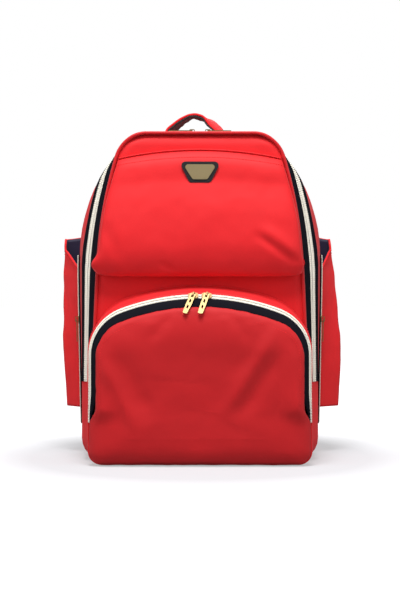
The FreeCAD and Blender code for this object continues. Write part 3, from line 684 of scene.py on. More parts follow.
def inflate(thing: bpy.types.Object, voxel: float, pressure: float, cap: float,
            pinned: Optional[Callable[[Vector], bool]] = None) -> bpy.types.Object:
    """Blows a closed form up as sewn cloth, for a few frames, and keeps every point within a limit.

    Args:
        thing: Closed mesh.
        voxel: Size of the even mesh that it is rebuilt with, in millimetres, or 0 to keep its own.
        pressure: Pressure inside.
        cap: Furthest that a point may move, in millimetres.
        pinned: Tells which points stay where they are.

    Returns:
        The same object.
    """
    if voxel:
        rebuilt = thing.modifiers.new("even", "REMESH")
        rebuilt.mode = "VOXEL"
        rebuilt.voxel_size = voxel * MM
        rebuilt.use_smooth_shade = True
        settle(thing)
    before = np.array([vertex.co for vertex in thing.data.vertices])
    cloth = thing.modifiers.new("cloth", "CLOTH")
    settings = cloth.settings
    settings.quality = 5
    settings.use_pressure = True
    settings.uniform_pressure_force = pressure
    settings.effector_weights.gravity = 0.0
    settings.tension_stiffness = 18.0
    settings.compression_stiffness = 18.0
    settings.bending_stiffness = 1.2
    cloth.collision_settings.use_collision = False
    cloth.point_cache.frame_start = 1
    cloth.point_cache.frame_end = CLOTH_FRAMES
    if pinned:
        group = thing.vertex_groups.new(name="pinned")
        group.add([vertex.index for vertex in thing.data.vertices if pinned(vertex.co / MM)], 1.0, "REPLACE")
        settings.vertex_group_mass = "pinned"
    scene = bpy.context.scene
    for number in range(1, CLOTH_FRAMES + 1):
        scene.frame_set(number)
    settle(thing)
    scene.frame_set(1)
    after = np.array([vertex.co for vertex in thing.data.vertices])
    moved = after - before
    reach = np.maximum(np.linalg.norm(moved, axis=1, keepdims=True), 1e-9)
    kept = before + moved * np.minimum(1.0, cap * MM / reach)
    thing.data.vertices.foreach_set("co", kept.astype(np.float32).ravel())
    thing.vertex_groups.clear()
    return subdivide(thing)


# ------------------------------------------------------------------ outlines of the pack


def rounded_loop(corners: Sequence[Point3], arcs: Sequence[int], sides: Sequence[int]) -> np.ndarray:
    """A closed loop with round corners, always cut into the same number of points.

    Args:
        corners: Corners as (a, b, radius), anticlockwise.
        arcs: Steps on each corner.
        sides: Steps from each corner to the next.

    Returns:
        Points in rows, starting with the first corner.
    """
    ends, pieces = [], []
    count = len(corners)
    for index, (a, b, radius) in enumerate(corners):
        here = np.array([a, b])
        before = np.array(corners[index - 1][:2]) - here
        after = np.array(corners[(index + 1) % count][:2]) - here
        before, after = before / np.linalg.norm(before), after / np.linalg.norm(after)
        half = math.acos(float(np.clip(before @ after, -1.0, 1.0))) / 2
        bisector = (before + after) / np.linalg.norm(before + after)
        centre = here + bisector * radius / math.sin(half)
        toward = math.atan2(-bisector[1], -bisector[0])
        turns = toward + (math.pi / 2 - half) * np.linspace(-1.0, 1.0, arcs[index] + 1)
        arc = centre + radius * np.stack([np.cos(turns), np.sin(turns)], axis=1)
        pieces.append(arc)
        ends.append(arc)
    whole = []
    for index in range(count):
        start, end = ends[index][-1], ends[(index + 1) % count][0]
        steps = np.linspace(0.0, 1.0, sides[index] + 1)[1:-1, None]
        whole += [pieces[index], start + (end - start) * steps]
    return np.concatenate(whole)


def run_above(loop: np.ndarray, low: float, count: int) -> np.ndarray:
    """The part of an upright loop above a height, from its right foot over the top to its left foot.

    Args:
        loop: Closed outline as (x, z).
        low: Height where it starts.
        count: Points in each line.

    Returns:
        Points (x, z).
    """
    top = int(np.argmax(loop[:, 1]))
    turned = np.roll(loop, len(loop) // 2 - top, axis=0)
    above = np.nonzero(turned[:, 1] > low)[0]
    first, last = above[0], above[-1]

    def cut(inner: np.ndarray, outer: np.ndarray) -> np.ndarray:
        """The point at the height between two neighbours."""
        share = (low - outer[1]) / (inner[1] - outer[1])
        return outer + (inner - outer) * share

    start = cut(turned[first], turned[first - 1])
    end = cut(turned[last], turned[(last + 1) % len(turned)])
    return resample(np.concatenate([[start], turned[first:last + 1], [end]]), count)


def run_below(loop: np.ndarray, high: float, count: int) -> np.ndarray:
    """The part of an upright loop below a height, from the left over the floor to the right.

    Args:
        loop: Closed outline as (x, z).
        high: Height where it ends, at both ends.
        count: Points in each line.

    Returns:
        Points (x, z).
    """
    flipped = loop * [1.0, -1.0]
    line = run_above(flipped, -high, count) * [1.0, -1.0]
    return line[::-1]


def stand(line: np.ndarray, y: float) -> np.ndarray:
    """Points (x, z) set upright at y."""
    return np.stack([line[:, 0], np.full(len(line), y), line[:, 1]], axis=1)


@dataclass(frozen=True)
class Station:
    """Outline of the pack at one depth, in millimetres."""

    y: float
    foot: float
    waist: float
    waist_height: float
    shoulder: float
    top: float
    radius: float


@dataclass(frozen=True)
class PackForm:
    """The skin of the pack: an outline that changes evenly from station to station."""

    stations: tuple[Station, ...] = (
        Station(-70.0, 139.0, 129.0, 225.0, 97.0, 412.0, 35.0),
        Station(-44.0, 150.0, 150.0, 262.0, 112.0, 412.0, 95.0),
        Station(12.0, 153.0, 159.0, 272.0, 159.0, 405.0, 122.0),
        Station(70.0, 147.0, 151.0, 272.0, 151.0, 400.0, 110.0),
    )
    foot_radius: float = 28.0
    waist_radius: float = 120.0
    bow: float = 6.5
    slack: float = 4.0

    def at(self, y: float) -> Station:
        """The outline sizes at any depth.

        Args:
            y: Depth.

        Returns:
            The station at that depth.
        """
        depths = [station.y for station in self.stations]
        values = [[getattr(station, name) for station in self.stations]
                  for name in ("foot", "waist", "waist_height", "shoulder", "top", "radius")]
        return Station(y, *(float(np.interp(y, depths, row)) for row in values))

    def loop(self, y: float, inset: float = 0.0) -> np.ndarray:
        """Closed outline at a depth, moved inwards; the right foot comes first and the floor last.

        Args:
            y: Depth.
            inset: How far inside the skin it lies.

        Returns:
            Points (x, z).
        """
        size = self.at(y)
        half = [(size.foot - inset, inset, self.foot_radius - inset),
                (size.waist - inset, size.waist_height, self.waist_radius),
                (size.shoulder - inset, size.top - inset, size.radius - inset)]
        points = rounded_loop(mirrored(half), (6, 10, 14, 14, 10, 6), (40, 18, 26, 18, 40, 30))
        rise = np.clip((points[:, 1] - size.waist_height) / (size.top - 8.0 - size.waist_height), 0.0, 1.0)
        full = self.bow * smooth_step((-8.0 - y) / 60.0)
        slack = self.slack * smooth_step((y + 46.0) / 36.0)
        hollow = np.exp(-(((points[:, 1] - 318.0) / 45.0) ** 2))
        points[:, 0] += np.sign(points[:, 0]) * (full * np.sin(math.pi * rise) - slack * hollow)
        return points

    def over(self, y: float, inset: float, low: float, count: int = 260) -> np.ndarray:
        """Line on the skin above a height, from the right over the top to the left."""
        return stand(run_above(self.loop(y, inset), low, count), y)

    def under(self, y: float, inset: float, high: float, count: int = 120) -> np.ndarray:
        """Line on the skin below a height, from the left over the floor to the right."""
        return stand(run_below(self.loop(y, inset), high, count), y)

    def band(self, section: Sequence[Point2], low: float, count: int = 260) -> np.ndarray:
        """Rows along the skin for a strip's section, given as (y, inset) points."""
        return np.array([self.over(y, inset, low, count) for y, inset in section])

    def normals(self, y: float, low: float, count: int = 260) -> np.ndarray:
        """Outward direction of the skin along such a line.

        Args:
            y: Depth.
            low: Height where it starts.
            count: Points in each line.

        Returns:
            Unit vectors.
        """
        near, far = self.over(y - 2.0, 0.0, low, count), self.over(y + 2.0, 0.0, low, count)
        along = np.gradient(self.over(y, 0.0, low, count), axis=0)
        normal = np.cross(along, far - near)
        normal /= np.linalg.norm(normal, axis=1, keepdims=True)
        middle = self.over(y, 0.0, low, count)
        inward = np.array([0.0, 0.0, 200.0]) - middle
        inward[:, 1] = 0.0
        flip = np.sign(np.sum(normal * inward, axis=1, keepdims=True))
        return -normal * flip

    def half_width(self, y: float, z: float) -> float:
        """Half width of the skin at a depth and a height.

        Args:
            y: Depth.
            z: Height.

        Returns:
            Half width in millimetres.
        """
        line = self.loop(y)
        right = line[line[:, 0] > 0]
        order = np.argsort(right[:, 1])
        return float(np.interp(z, right[order, 1], right[order, 0]))


PACK = PackForm()


def toward_core(loop: np.ndarray, y: Callable[[np.ndarray], np.ndarray], core: Point2,
                shares: Sequence[float]) -> np.ndarray:
    """Rings that shrink a loop onto an upright core line.

    Args:
        loop: Closed outline as (x, z).
        y: Depth for rows of (x, z, share).
        core: Lowest and highest point of the core line.
        shares: Shares of the way from the outline, 0, to the core, 1.

    Returns:
        Rings of points.
    """
    heart = np.stack([np.zeros(len(loop)), np.clip(loop[:, 1], *core)], axis=1)
    rings = []
    for share in shares:
        ring = loop + (heart - loop) * share
        depth = y(np.column_stack([ring, np.full(len(ring), share)]))
        rings.append(np.stack([ring[:, 0], depth, ring[:, 1]], axis=1))
    return np.array(rings)


# ------------------------------------------------------------------ tub, front and lid


@dataclass
class Tub:
    """Gussets, top, floor and back wall in one fabric, with the lining behind them."""

    front: float = -44.0
    back: float = 70.0
    edge: float = 6.0
    cloth: float = 1.2
    sag: float = 1.5
    zip_line: float = 8.0
    hub: Point2 = (110.0, 290.0)
    cord: float = 1.7
    lining_inset: float = 3.4
    lining_floor: float = 6.8
    lining_back: float = 63.0
    body: str = "pack"

    def skin(self) -> np.ndarray:
        """Rows of the outer fabric, from the front edge round the back to its middle.

        Returns:
            Rows of points.
        """
        rows = [stand(PACK.loop(y), y) for y in np.linspace(self.front, self.back - self.edge, 30)]
        for turn in np.linspace(0.0, math.pi / 2, 7)[1:]:
            y = self.back - self.edge + self.edge * math.sin(turn)
            rows.append(stand(PACK.loop(y, self.edge * (1 - math.cos(turn))), y))
        wall = toward_core(PACK.loop(self.back, self.edge), lambda ring: np.full(len(ring), self.back),
                           self.hub, np.linspace(0.0, 1.0, 16)[1:])
        points = np.concatenate([np.array(rows), wall])
        for ring in points[: len(rows)]:
            for point in ring:
                off_zip = smooth_step((abs(point[1] - self.zip_line) - 13.0) / 10.0)
                free = off_zip * smooth_step((point[1] - self.front) / 8.0)
                depth = self.sag * free * (0.5 + 0.5 * wrinkle(point, 46.0, 3.1))
                core = np.array([0.0, point[1], min(max(point[2], 60.0), 330.0)])
                inward = core - point
                point += inward / np.linalg.norm(inward) * depth
        return points

    def build(self) -> None:
        """Makes the fabric, its lining and the bound seam round the back."""
        shell = weld(grid("tub_fabric", self.skin(), round_columns=True, flip=True))
        thicken(shell, self.cloth, NAVY, RED)
        wear(shell, RED, self.body, "rear_shell")

        rows = []
        for y in np.linspace(self.front + 1.0, self.lining_back, 16):
            loop = PACK.loop(y, self.lining_inset)
            loop[:, 1] = np.maximum(loop[:, 1], self.lining_floor)
            rows.append(stand(loop, y))
        wall = toward_core(loop, lambda ring: np.full(len(ring), self.lining_back + 1.3), self.hub,
                           np.linspace(0.0, 1.0, 12)[1:])
        whole = np.concatenate([np.array(rows), wall])
        lining = weld(grid("tub_lining", whole, round_columns=True, flip=True))
        thicken(lining, 0.5)
        wear(lining, NAVY, self.body)

        section = [(self.back - 3.0 + self.cord * math.cos(t), 0.8 + self.cord * math.sin(t))
                   for t in circle(8)]
        cord = [stand(PACK.loop(y, inset), y) for y, inset in section]
        edge = outward(grid("back_seam_cord", np.array(cord), round_rows=True, round_columns=True))
        wear(edge, PIPING, self.body)


@dataclass
class FrontFabric:
    """Front panel in one fabric over the fold of the lid, its piping, and the fabric of the lower corners."""

    y: float = -70.0
    fold: float = 236.0
    piping: float = 2.0
    cloth: float = 1.2
    zip_end: float = 100.0

    def depth(self, ring: np.ndarray) -> np.ndarray:
        """Depth of the panel: tucked in at its seam, a little full inside it, soft above the upper pocket.

        Args:
            ring: Rows of (x, z, share of the way in).

        Returns:
            Depth of each point.
        """
        full = 1.6 * ease(ring[:, 2] / 0.09)
        noise_part = np.array([0.7 * wrinkle((x, 0.0, z), 52.0, 8.4) for x, z in ring[:, :2]])
        slump = 4.0 * ease((ring[:, 1] - 396.0) / 18.0)
        return self.y + 1.0 - full - noise_part * ease(ring[:, 2] / 0.1) + slump

    def build(self) -> None:
        """Makes the panel, the piping and the corner fabric."""
        across = ("pack", "lid")
        start, end = ((0.0, self.y * MM, (self.fold + off) * MM) for off in (-10, 10))
        shares = np.linspace(0.0, 1.0, 44) ** 1.15
        rings = toward_core(PACK.loop(self.y, 0.8), self.depth, (120.0, 330.0), shares)
        panel = weld(grid("front_fabric", rings, round_columns=True))
        thicken(panel, self.cloth, NAVY, RED)
        wear_across(panel, RED, across, start, end, "lower_front_panel", "lid_panel")

        section = [(self.y - 0.2 + self.piping * math.cos(t), self.piping * math.sin(t)) for t in circle(10)]
        cord = outward(grid("front_piping", PACK.band(section, 26.0, 320), round_rows=True, caps=True))
        wear_across(cord, PIPING, across, start, end, "lower_piping", "lid_piping")

        rows = []
        for y, inset in ((-69.4, 2.0), (-68.6, 0.6), (-67.0, 0.0), (-62.0, 0.0), (-57.0, 0.3), (-52.0, 0.3),
                         (-47.0, 0.0), (-44.4, 0.2), (-43.2, 1.0)):
            line = PACK.under(y, inset, self.zip_end + 0.5, 150)
            for point in line:
                point[0] -= math.copysign(0.5 * abs(wrinkle(point, 22.0, 5.0)), point[0])
            rows.append(line)
        corner = thicken(grid("corner_fabric", np.array(rows)), self.cloth, NAVY, RED)
        wear(corner, RED, "pack")


@dataclass
class MainZip:
    """The wide zip round the lid: two tapes and two rows of teeth."""

    line: float = -55.6
    gap: float = 0.95
    row: float = 5.05
    front_edge: float = -68.4
    rear_edge: float = -43.6
    end: float = 100.0
    pitch: float = 2.4
    squeeze: float = 0.72
    stitched: Point2 = (-48.2, -45.4)
    bend: tuple[Point3, Point3] = ((0.0, -0.07, 0.226), (0.0, -0.07, 0.246))

    def lines(self, section: Sequence[Point2], low: float, count: int) -> np.ndarray:
        """Rows on the skin; down the sides the teeth draw together onto their rear edge.

        Args:
            section: Points (depth, distance from the skin).
            low: Height where it starts.
            count: Points in each line.

        Returns:
            Rows of points.
        """
        rear, front = self.line + self.gap + self.row, self.line - self.gap - self.row
        rows = []
        for y, inset in section:
            flat = PACK.over(y, inset, low, count)
            drawn = rear + (y - rear) * self.squeeze if y >= front else y
            if self.front_edge < y < front:
                share = (y - self.front_edge) / (front - self.front_edge)
                drawn = self.front_edge + (rear + (front - rear) * self.squeeze - self.front_edge) * share
            if y > rear:
                drawn = y
            moved = PACK.over(drawn, inset, low, count)
            share = ease((404.0 - flat[:, 2]) / 40.0)[:, None]
            rows.append(flat + (moved - flat) * share)
        return np.array(rows)

    def strip(self, name: str, near: float, far: float, proud: float, finish: Finish) -> bpy.types.Object:
        """A flat strip on the skin between two depths.

        Args:
            name: Name of the object.
            near: Its near edge.
            far: Its far edge.
            proud: How far it stands off the skin.
            finish: Its finish.

        Returns:
            The strip.
        """
        section = [(near, 0.9), (near, -proud), (near + 0.15 * (far - near), -proud - 0.15),
                   (far - 0.15 * (far - near), -proud - 0.15), (far, -proud), (far, 0.9)]
        thing = outward(grid(name, self.lines(section, self.end, 300), round_rows=True, caps=True))
        thing.data.materials.append(finish.material())
        return thing

    def teeth(self, name: str, middle: float) -> bpy.types.Object:
        """A row of teeth centred at a depth, on its core.

        Args:
            name: Name of the object.
            middle: Its middle line.

        Returns:
            The row of teeth.
        """
        half = self.row / 2
        core = self.strip(name, middle - half, middle + half, 0.0, CREAM)
        line = self.lines([(middle, -0.35)], self.end + 1.0, 300)[0]
        beads_row = beads(name + "_beads", [line], [PACK.normals(middle, self.end + 1.0, 300)], self.pitch,
                          (0.98, half * self.squeeze, 0.7), CREAM, ODD_SIZE)
        return joined(core, beads_row)

    def build(self) -> None:
        """Makes both sides of the zip and two rows of stitching on the rear tape."""
        near, far = self.gap, self.gap + self.row
        tape = self.strip("lid_zip_tape_cloth", self.front_edge, self.line - far + 0.3, 0.15, TAPE)
        wear_across(tape, TAPE, ("pack", "lid"), *self.bend, "main_zip_tape_lower", "lid_zip_tape")
        row = self.teeth("lid_zip_teeth_row", self.line - (near + far) / 2)
        wear_across(row, CREAM, ("pack", "lid"), *self.bend, "main_zip_teeth_lower", "lid_zip_teeth")
        tape = self.strip("tub_zip_tape_cloth", self.line + far - 0.3, self.rear_edge, 0.15, TAPE)
        wear(tape, TAPE, "pack", "main_zip_tape_rear")
        row = self.teeth("tub_zip_teeth_row", self.line + (near + far) / 2)
        wear(row, CREAM, "pack", "main_zip_teeth_rear")
        lines = [PACK.over(y, -0.25, self.end + 1.0) for y in self.stitched]
        facings = [PACK.normals(y, self.end + 1.0) for y in self.stitched]
        thread = stitches("zip_tape_stitches", lines, facings, TAPE)
        wear(thread, TAPE, "pack")


def joined(first: bpy.types.Object, *others: bpy.types.Object) -> bpy.types.Object:
    """Joins meshes into the first one.

    Args:
        first: The mesh that takes the others.
        others: The meshes that go into it.

    Returns:
        The first mesh.
    """
    with bpy.context.temp_override(active_object=first, selected_editable_objects=[first, *others],
                                   selected_objects=[first, *others], object=first):
        bpy.ops.object.join()
    return first


@dataclass
class UpperPocket:
    """The stuffed pocket on the lid, with an overhanging lip, a top seam and a badge."""

    base: float = -70.4
    seam: float = 246.0
    crest: float = 392.0
    droop: float = 11.0
    section: tuple[Point2, ...] = (
        (0.0, 244.0), (3.5, 236.0), (9.5, 231.8), (16.5, 232.4), (22.5, 239.0), (28.0, 252.0),
        (31.0, 270.0), (28.8, 300.0), (24.8, 324.0), (20.4, 342.0), (17.8, 352.0), (17.2, 364.0),
        (15.6, 375.0), (11.0, 384.0), (4.6, 390.0), (1.4, 391.4), (0.0, 392.0))
    folds: tuple[Fold, ...] = (
        Fold((62.0, 288.0), (126.0, 244.0), 5.5, -2.4), Fold((70.0, 296.0), (128.0, 254.0), 8.0, 2.0),
        Fold((-52.0, 250.0), (-30.0, 238.0), 3.4, -1.5), Fold((-122.0, 300.0), (-96.0, 248.0), 8.0, -1.3))
    ears: Point2 = (-8.0, 1.5)

    def form(self) -> np.ndarray:
        """Rows from the lower seam, over the stuffed face, to the upper seam; columns from left to right.

        Returns:
            Rows of points.
        """
        line = resample(smoothed(np.array(self.section), 2), 66)
        places = np.sin(np.linspace(-1.0, 1.0, 111) * math.pi / 2)
        full = (1.0 - np.abs(places) ** 9) ** (1 / 7)
        rows = []
        for depth, height in line:
            z = np.where(height < self.seam, self.seam + (height - self.seam) * full, height)
            half = np.array([self.half(value) for value in z])
            x = places * half
            top = self.crest - self.droop * (x / 100.0) ** 2
            share = np.clip((z - 300.0) / (self.crest - 300.0), 0.0, 1.0)
            z = np.where(z > 300.0, 300.0 + share * (top - 300.0), z)
            rows.append(np.stack([x, self.base - depth * full, z], axis=1))
        points = np.array(rows)
        self.crease(points)
        return points

    def half(self, z: float) -> float:
        """Half width at a height."""
        return PACK.half_width(-70.0, max(z, 246.0)) - 0.6

    def crease(self, points: np.ndarray) -> None:
        """Adds the folds, the soft unevenness and the ears at the lower corners.

        Args:
            points: Grid of points, which it moves.
        """
        x, z = points[:, :, 0], points[:, :, 2]
        free = ease((self.base - points[:, :, 1]) / 12.0)
        soft = wrinkles(x, z, 58.0, 1.7)
        fine = wrinkles(x, z * 0.35, 13.0, 6.2)
        away = np.clip(np.hypot(x / 40.0, (z - 361.0) / 26.0) - 0.6, 0.0, 1.0)
        out = 1.3 * soft * away + 0.7 * fine * np.exp(-((z - 243.0) / 9.0) ** 2)
        for fold in self.folds:
            out += fold.rise(x, z)
        points[:, :, 1] -= out * free
        corner = np.exp(-(((z - 247.0) / 10.0) ** 2)) * ease((np.abs(x) / 126.0 - 0.9) / 0.1)
        proud = ease((self.base - points[:, :, 1]) / 6.0 + 0.2)
        points[:, :, 0] += np.where(x < 0, *self.ears) * corner * proud

    def build(self) -> None:
        """Makes the pocket, its seams and its stitching, and finishes the badge."""
        face = self.form()
        back = face[::-1][:: len(face) // 6].copy()
        back[:, :, 1] = self.base + 0.6
        whole = grid("upper_pocket_cloth", np.concatenate([face, back]), round_rows=True)
        inflate(whole, 0.0, 0.9, 1.6, self.pinned)
        wear(whole, RED, "lid", "upper_pocket")
        top = face[-3] + [0.0, -1.0, 1.0]
        low = (face[-7] + [0.0, -0.35, 0.0])[4:-4]
        thread = stitches("pocket_seam_stitches", [low], [steady((0.0, -0.85, 0.5), len(low))], RED)
        wear(thread, RED, "lid")
        welt = np.array([top + [0.0, 1.3 * math.cos(t), 1.0 * math.sin(t)] for t in circle(8)])
        seam = outward(grid("pocket_seam_fold", welt, round_rows=True, caps=True))
        wear(seam, RED, "lid")
        self.loop_end()
        self.badge()

    def pinned(self, point: Vector) -> bool:
        """Tells whether a point is sewn down: at the pocket's seam, or under the badge."""
        return point.y > self.base - 3.0 or (abs(point.x) < 32 and abs(point.z - 361) < 20)

    def loop_end(self) -> None:
        """The small fabric loop sewn into the right end of the lower seam."""
        turns = np.linspace(-0.45 * math.pi, 0.95 * math.pi, 16)
        path = np.stack([125.0 + 4.2 * np.cos(turns), np.full(16, -79.0), 249.0 + 6.0 * np.sin(turns)],
                        axis=1)
        rows = [path + [0.0, along, 0.0] for along in (-5.0, -4.0, 0.0, 4.0, 5.0)]
        loop = thicken(grid("pocket_corner_loop", np.array(rows)), 1.1, None, RED, 0.0)
        wear(loop, RED, "lid")

    def badge(self) -> None:
        """Finishes the bare patch and plate and sews the patch down."""
        for node, finish in (("badge_patch", RUBBER), ("badge_plate", BRASS)):
            refinish(node, finish)
        low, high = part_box("badge_patch")
        middle, half = (low.z + high.z) / 2 / MM, (high.z - low.z) / 2 / MM - 2.0
        wide, narrow = high.x / MM - 3.4, high.x / MM * 0.5 + 1.0
        loop = rounded_loop([(narrow, middle - half, 4), (wide, middle + half, 4), (-wide, middle + half, 4),
                             (-narrow, middle - half, 4)], (5, 5, 5, 5), (12, 20, 12, 10))
        line = stand(np.concatenate([loop, loop[:1]]), low.y / MM - 0.1)
        thread = stitches("badge_stitches", [line], [steady((0.0, -1.0, 0.0), len(line))], DARK)
        wear(thread, DARK, "lid")


def refinish(node: str, finish: Finish) -> None:
    """Gives a CAD node a finish in place of its plain one.

    Args:
        node: Name of the node.
        finish: Its finish.
    """
    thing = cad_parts[node]
    if not thing.material_slots:
        thing.data.materials.append(finish.material())
    for material_slot in thing.material_slots:
        material_slot.material = finish.material()


# ------------------------------------------------------------------ lower front pocket


@dataclass(frozen=True)
class PocketForm:
    """The arch of the lower front pocket, which draws in towards its face."""

    half: float = 137.5
    root_half: float = 133.5
    top: float = 212.0
    floor: float = 1.0
    crown: float = 281.0
    corner: float = 62.0
    foot: float = 17.0
    side_share: float = 0.62
    profile: tuple[Point2, ...] = (
        (-70.4, 0.0), (-103.0, 0.0), (-112.5, 9.5), (-116.0, 15.0), (-119.0, 21.0), (-122.0, 31.0),
        (-123.6, 49.0), (-123.6, 76.0))

    def inset(self, y: float) -> float:
        """How far the outline has drawn in at a depth."""
        depths, insets = zip(*reversed(self.profile))
        return float(np.interp(y, depths, insets))

    def loop(self, inset: float, rise: float = 0.0, narrow: float = 0.0) -> np.ndarray:
        """Closed arched outline as (x, z), anticlockwise from the right foot.

        Args:
            inset: How far the crown has drawn in; the legs draw in less.
            rise: How much higher the crown stands.
            narrow: How much nearer to the middle both legs stand.

        Returns:
            Points (x, z).
        """
        half = self.half - self.side_share * inset - narrow
        top, crown = self.top - inset + rise, self.crown - inset
        corner, foot = max(self.corner - inset, 14.0), max(self.foot - 0.3 * inset, 10.0)
        floor = self.floor + 0.45 * inset
        middle = top - crown
        bend = middle + math.sqrt((crown - corner) ** 2 - (half - corner) ** 2)
        turn = math.atan2(bend - middle, half - corner)

        def arc(x: float, z: float, radius: float, start: float, end: float, steps: int) -> np.ndarray:
            """Points on an arc."""
            turns = np.linspace(start, end, steps)
            return np.stack([x + radius * np.cos(turns), z + radius * np.sin(turns)], axis=1)

        def side(start: np.ndarray, end: np.ndarray, steps: int) -> np.ndarray:
            """Points between two ends, without them."""
            return start + (end - start) * np.linspace(0.0, 1.0, steps + 1)[1:-1, None]

        parts = [arc(half - foot, floor + foot, foot, -math.pi / 2, 0.0, 10),
                 arc(half - corner, bend, corner, 0.0, turn, 18),
                 arc(0.0, middle, crown, turn, math.pi - turn, 48),
                 arc(corner - half, bend, corner, math.pi - turn, math.pi, 18),
                 arc(foot - half, floor + foot, foot, math.pi, 1.5 * math.pi, 10)]
        whole = [parts[0], side(parts[0][-1], parts[1][0], 26), parts[1][:-1], parts[2][:-1], parts[3],
                 side(parts[3][-1], parts[4][0], 26), parts[4], side(parts[4][-1], parts[0][0], 48)]
        return np.concatenate(whole)

    def over(self, y: float, inset: float, low: float, count: int, rise: float = 0.0) -> np.ndarray:
        """Line of the arch above a height."""
        return stand(run_above(self.loop(inset, rise), low, count), y)

    def sloped(self, line_y: float, low: float, section: Sequence[Point2], count: int) -> np.ndarray:
        """Rows along the arch for a strip on its slope.

        Args:
            line_y: Depth of the zip's middle.
            low: Height where the strip ends.
            section: Points (along the slope towards the face, outwards from it).
            count: Points in each row.

        Returns:
            Rows of points.
        """
        start, root = self.inset(line_y), math.sqrt(0.5)
        rows = [self.over(line_y - (s + h) * root, start + (s - h) * root, low, count) for s, h in section]
        return self.tapered(np.array(rows), self.over(line_y + 2.6, start - 2.6, low, count), low)

    @staticmethod
    def tapered(rows: np.ndarray, edge: np.ndarray, low: float) -> np.ndarray:
        """Draws rows of points together onto an edge line towards the lower ends of the arch."""
        share = 0.15 + 0.85 * ease((edge[:, 2] - low) / 40.0)
        return edge + (rows - edge) * share[None, :, None]


POCKET = PocketForm()


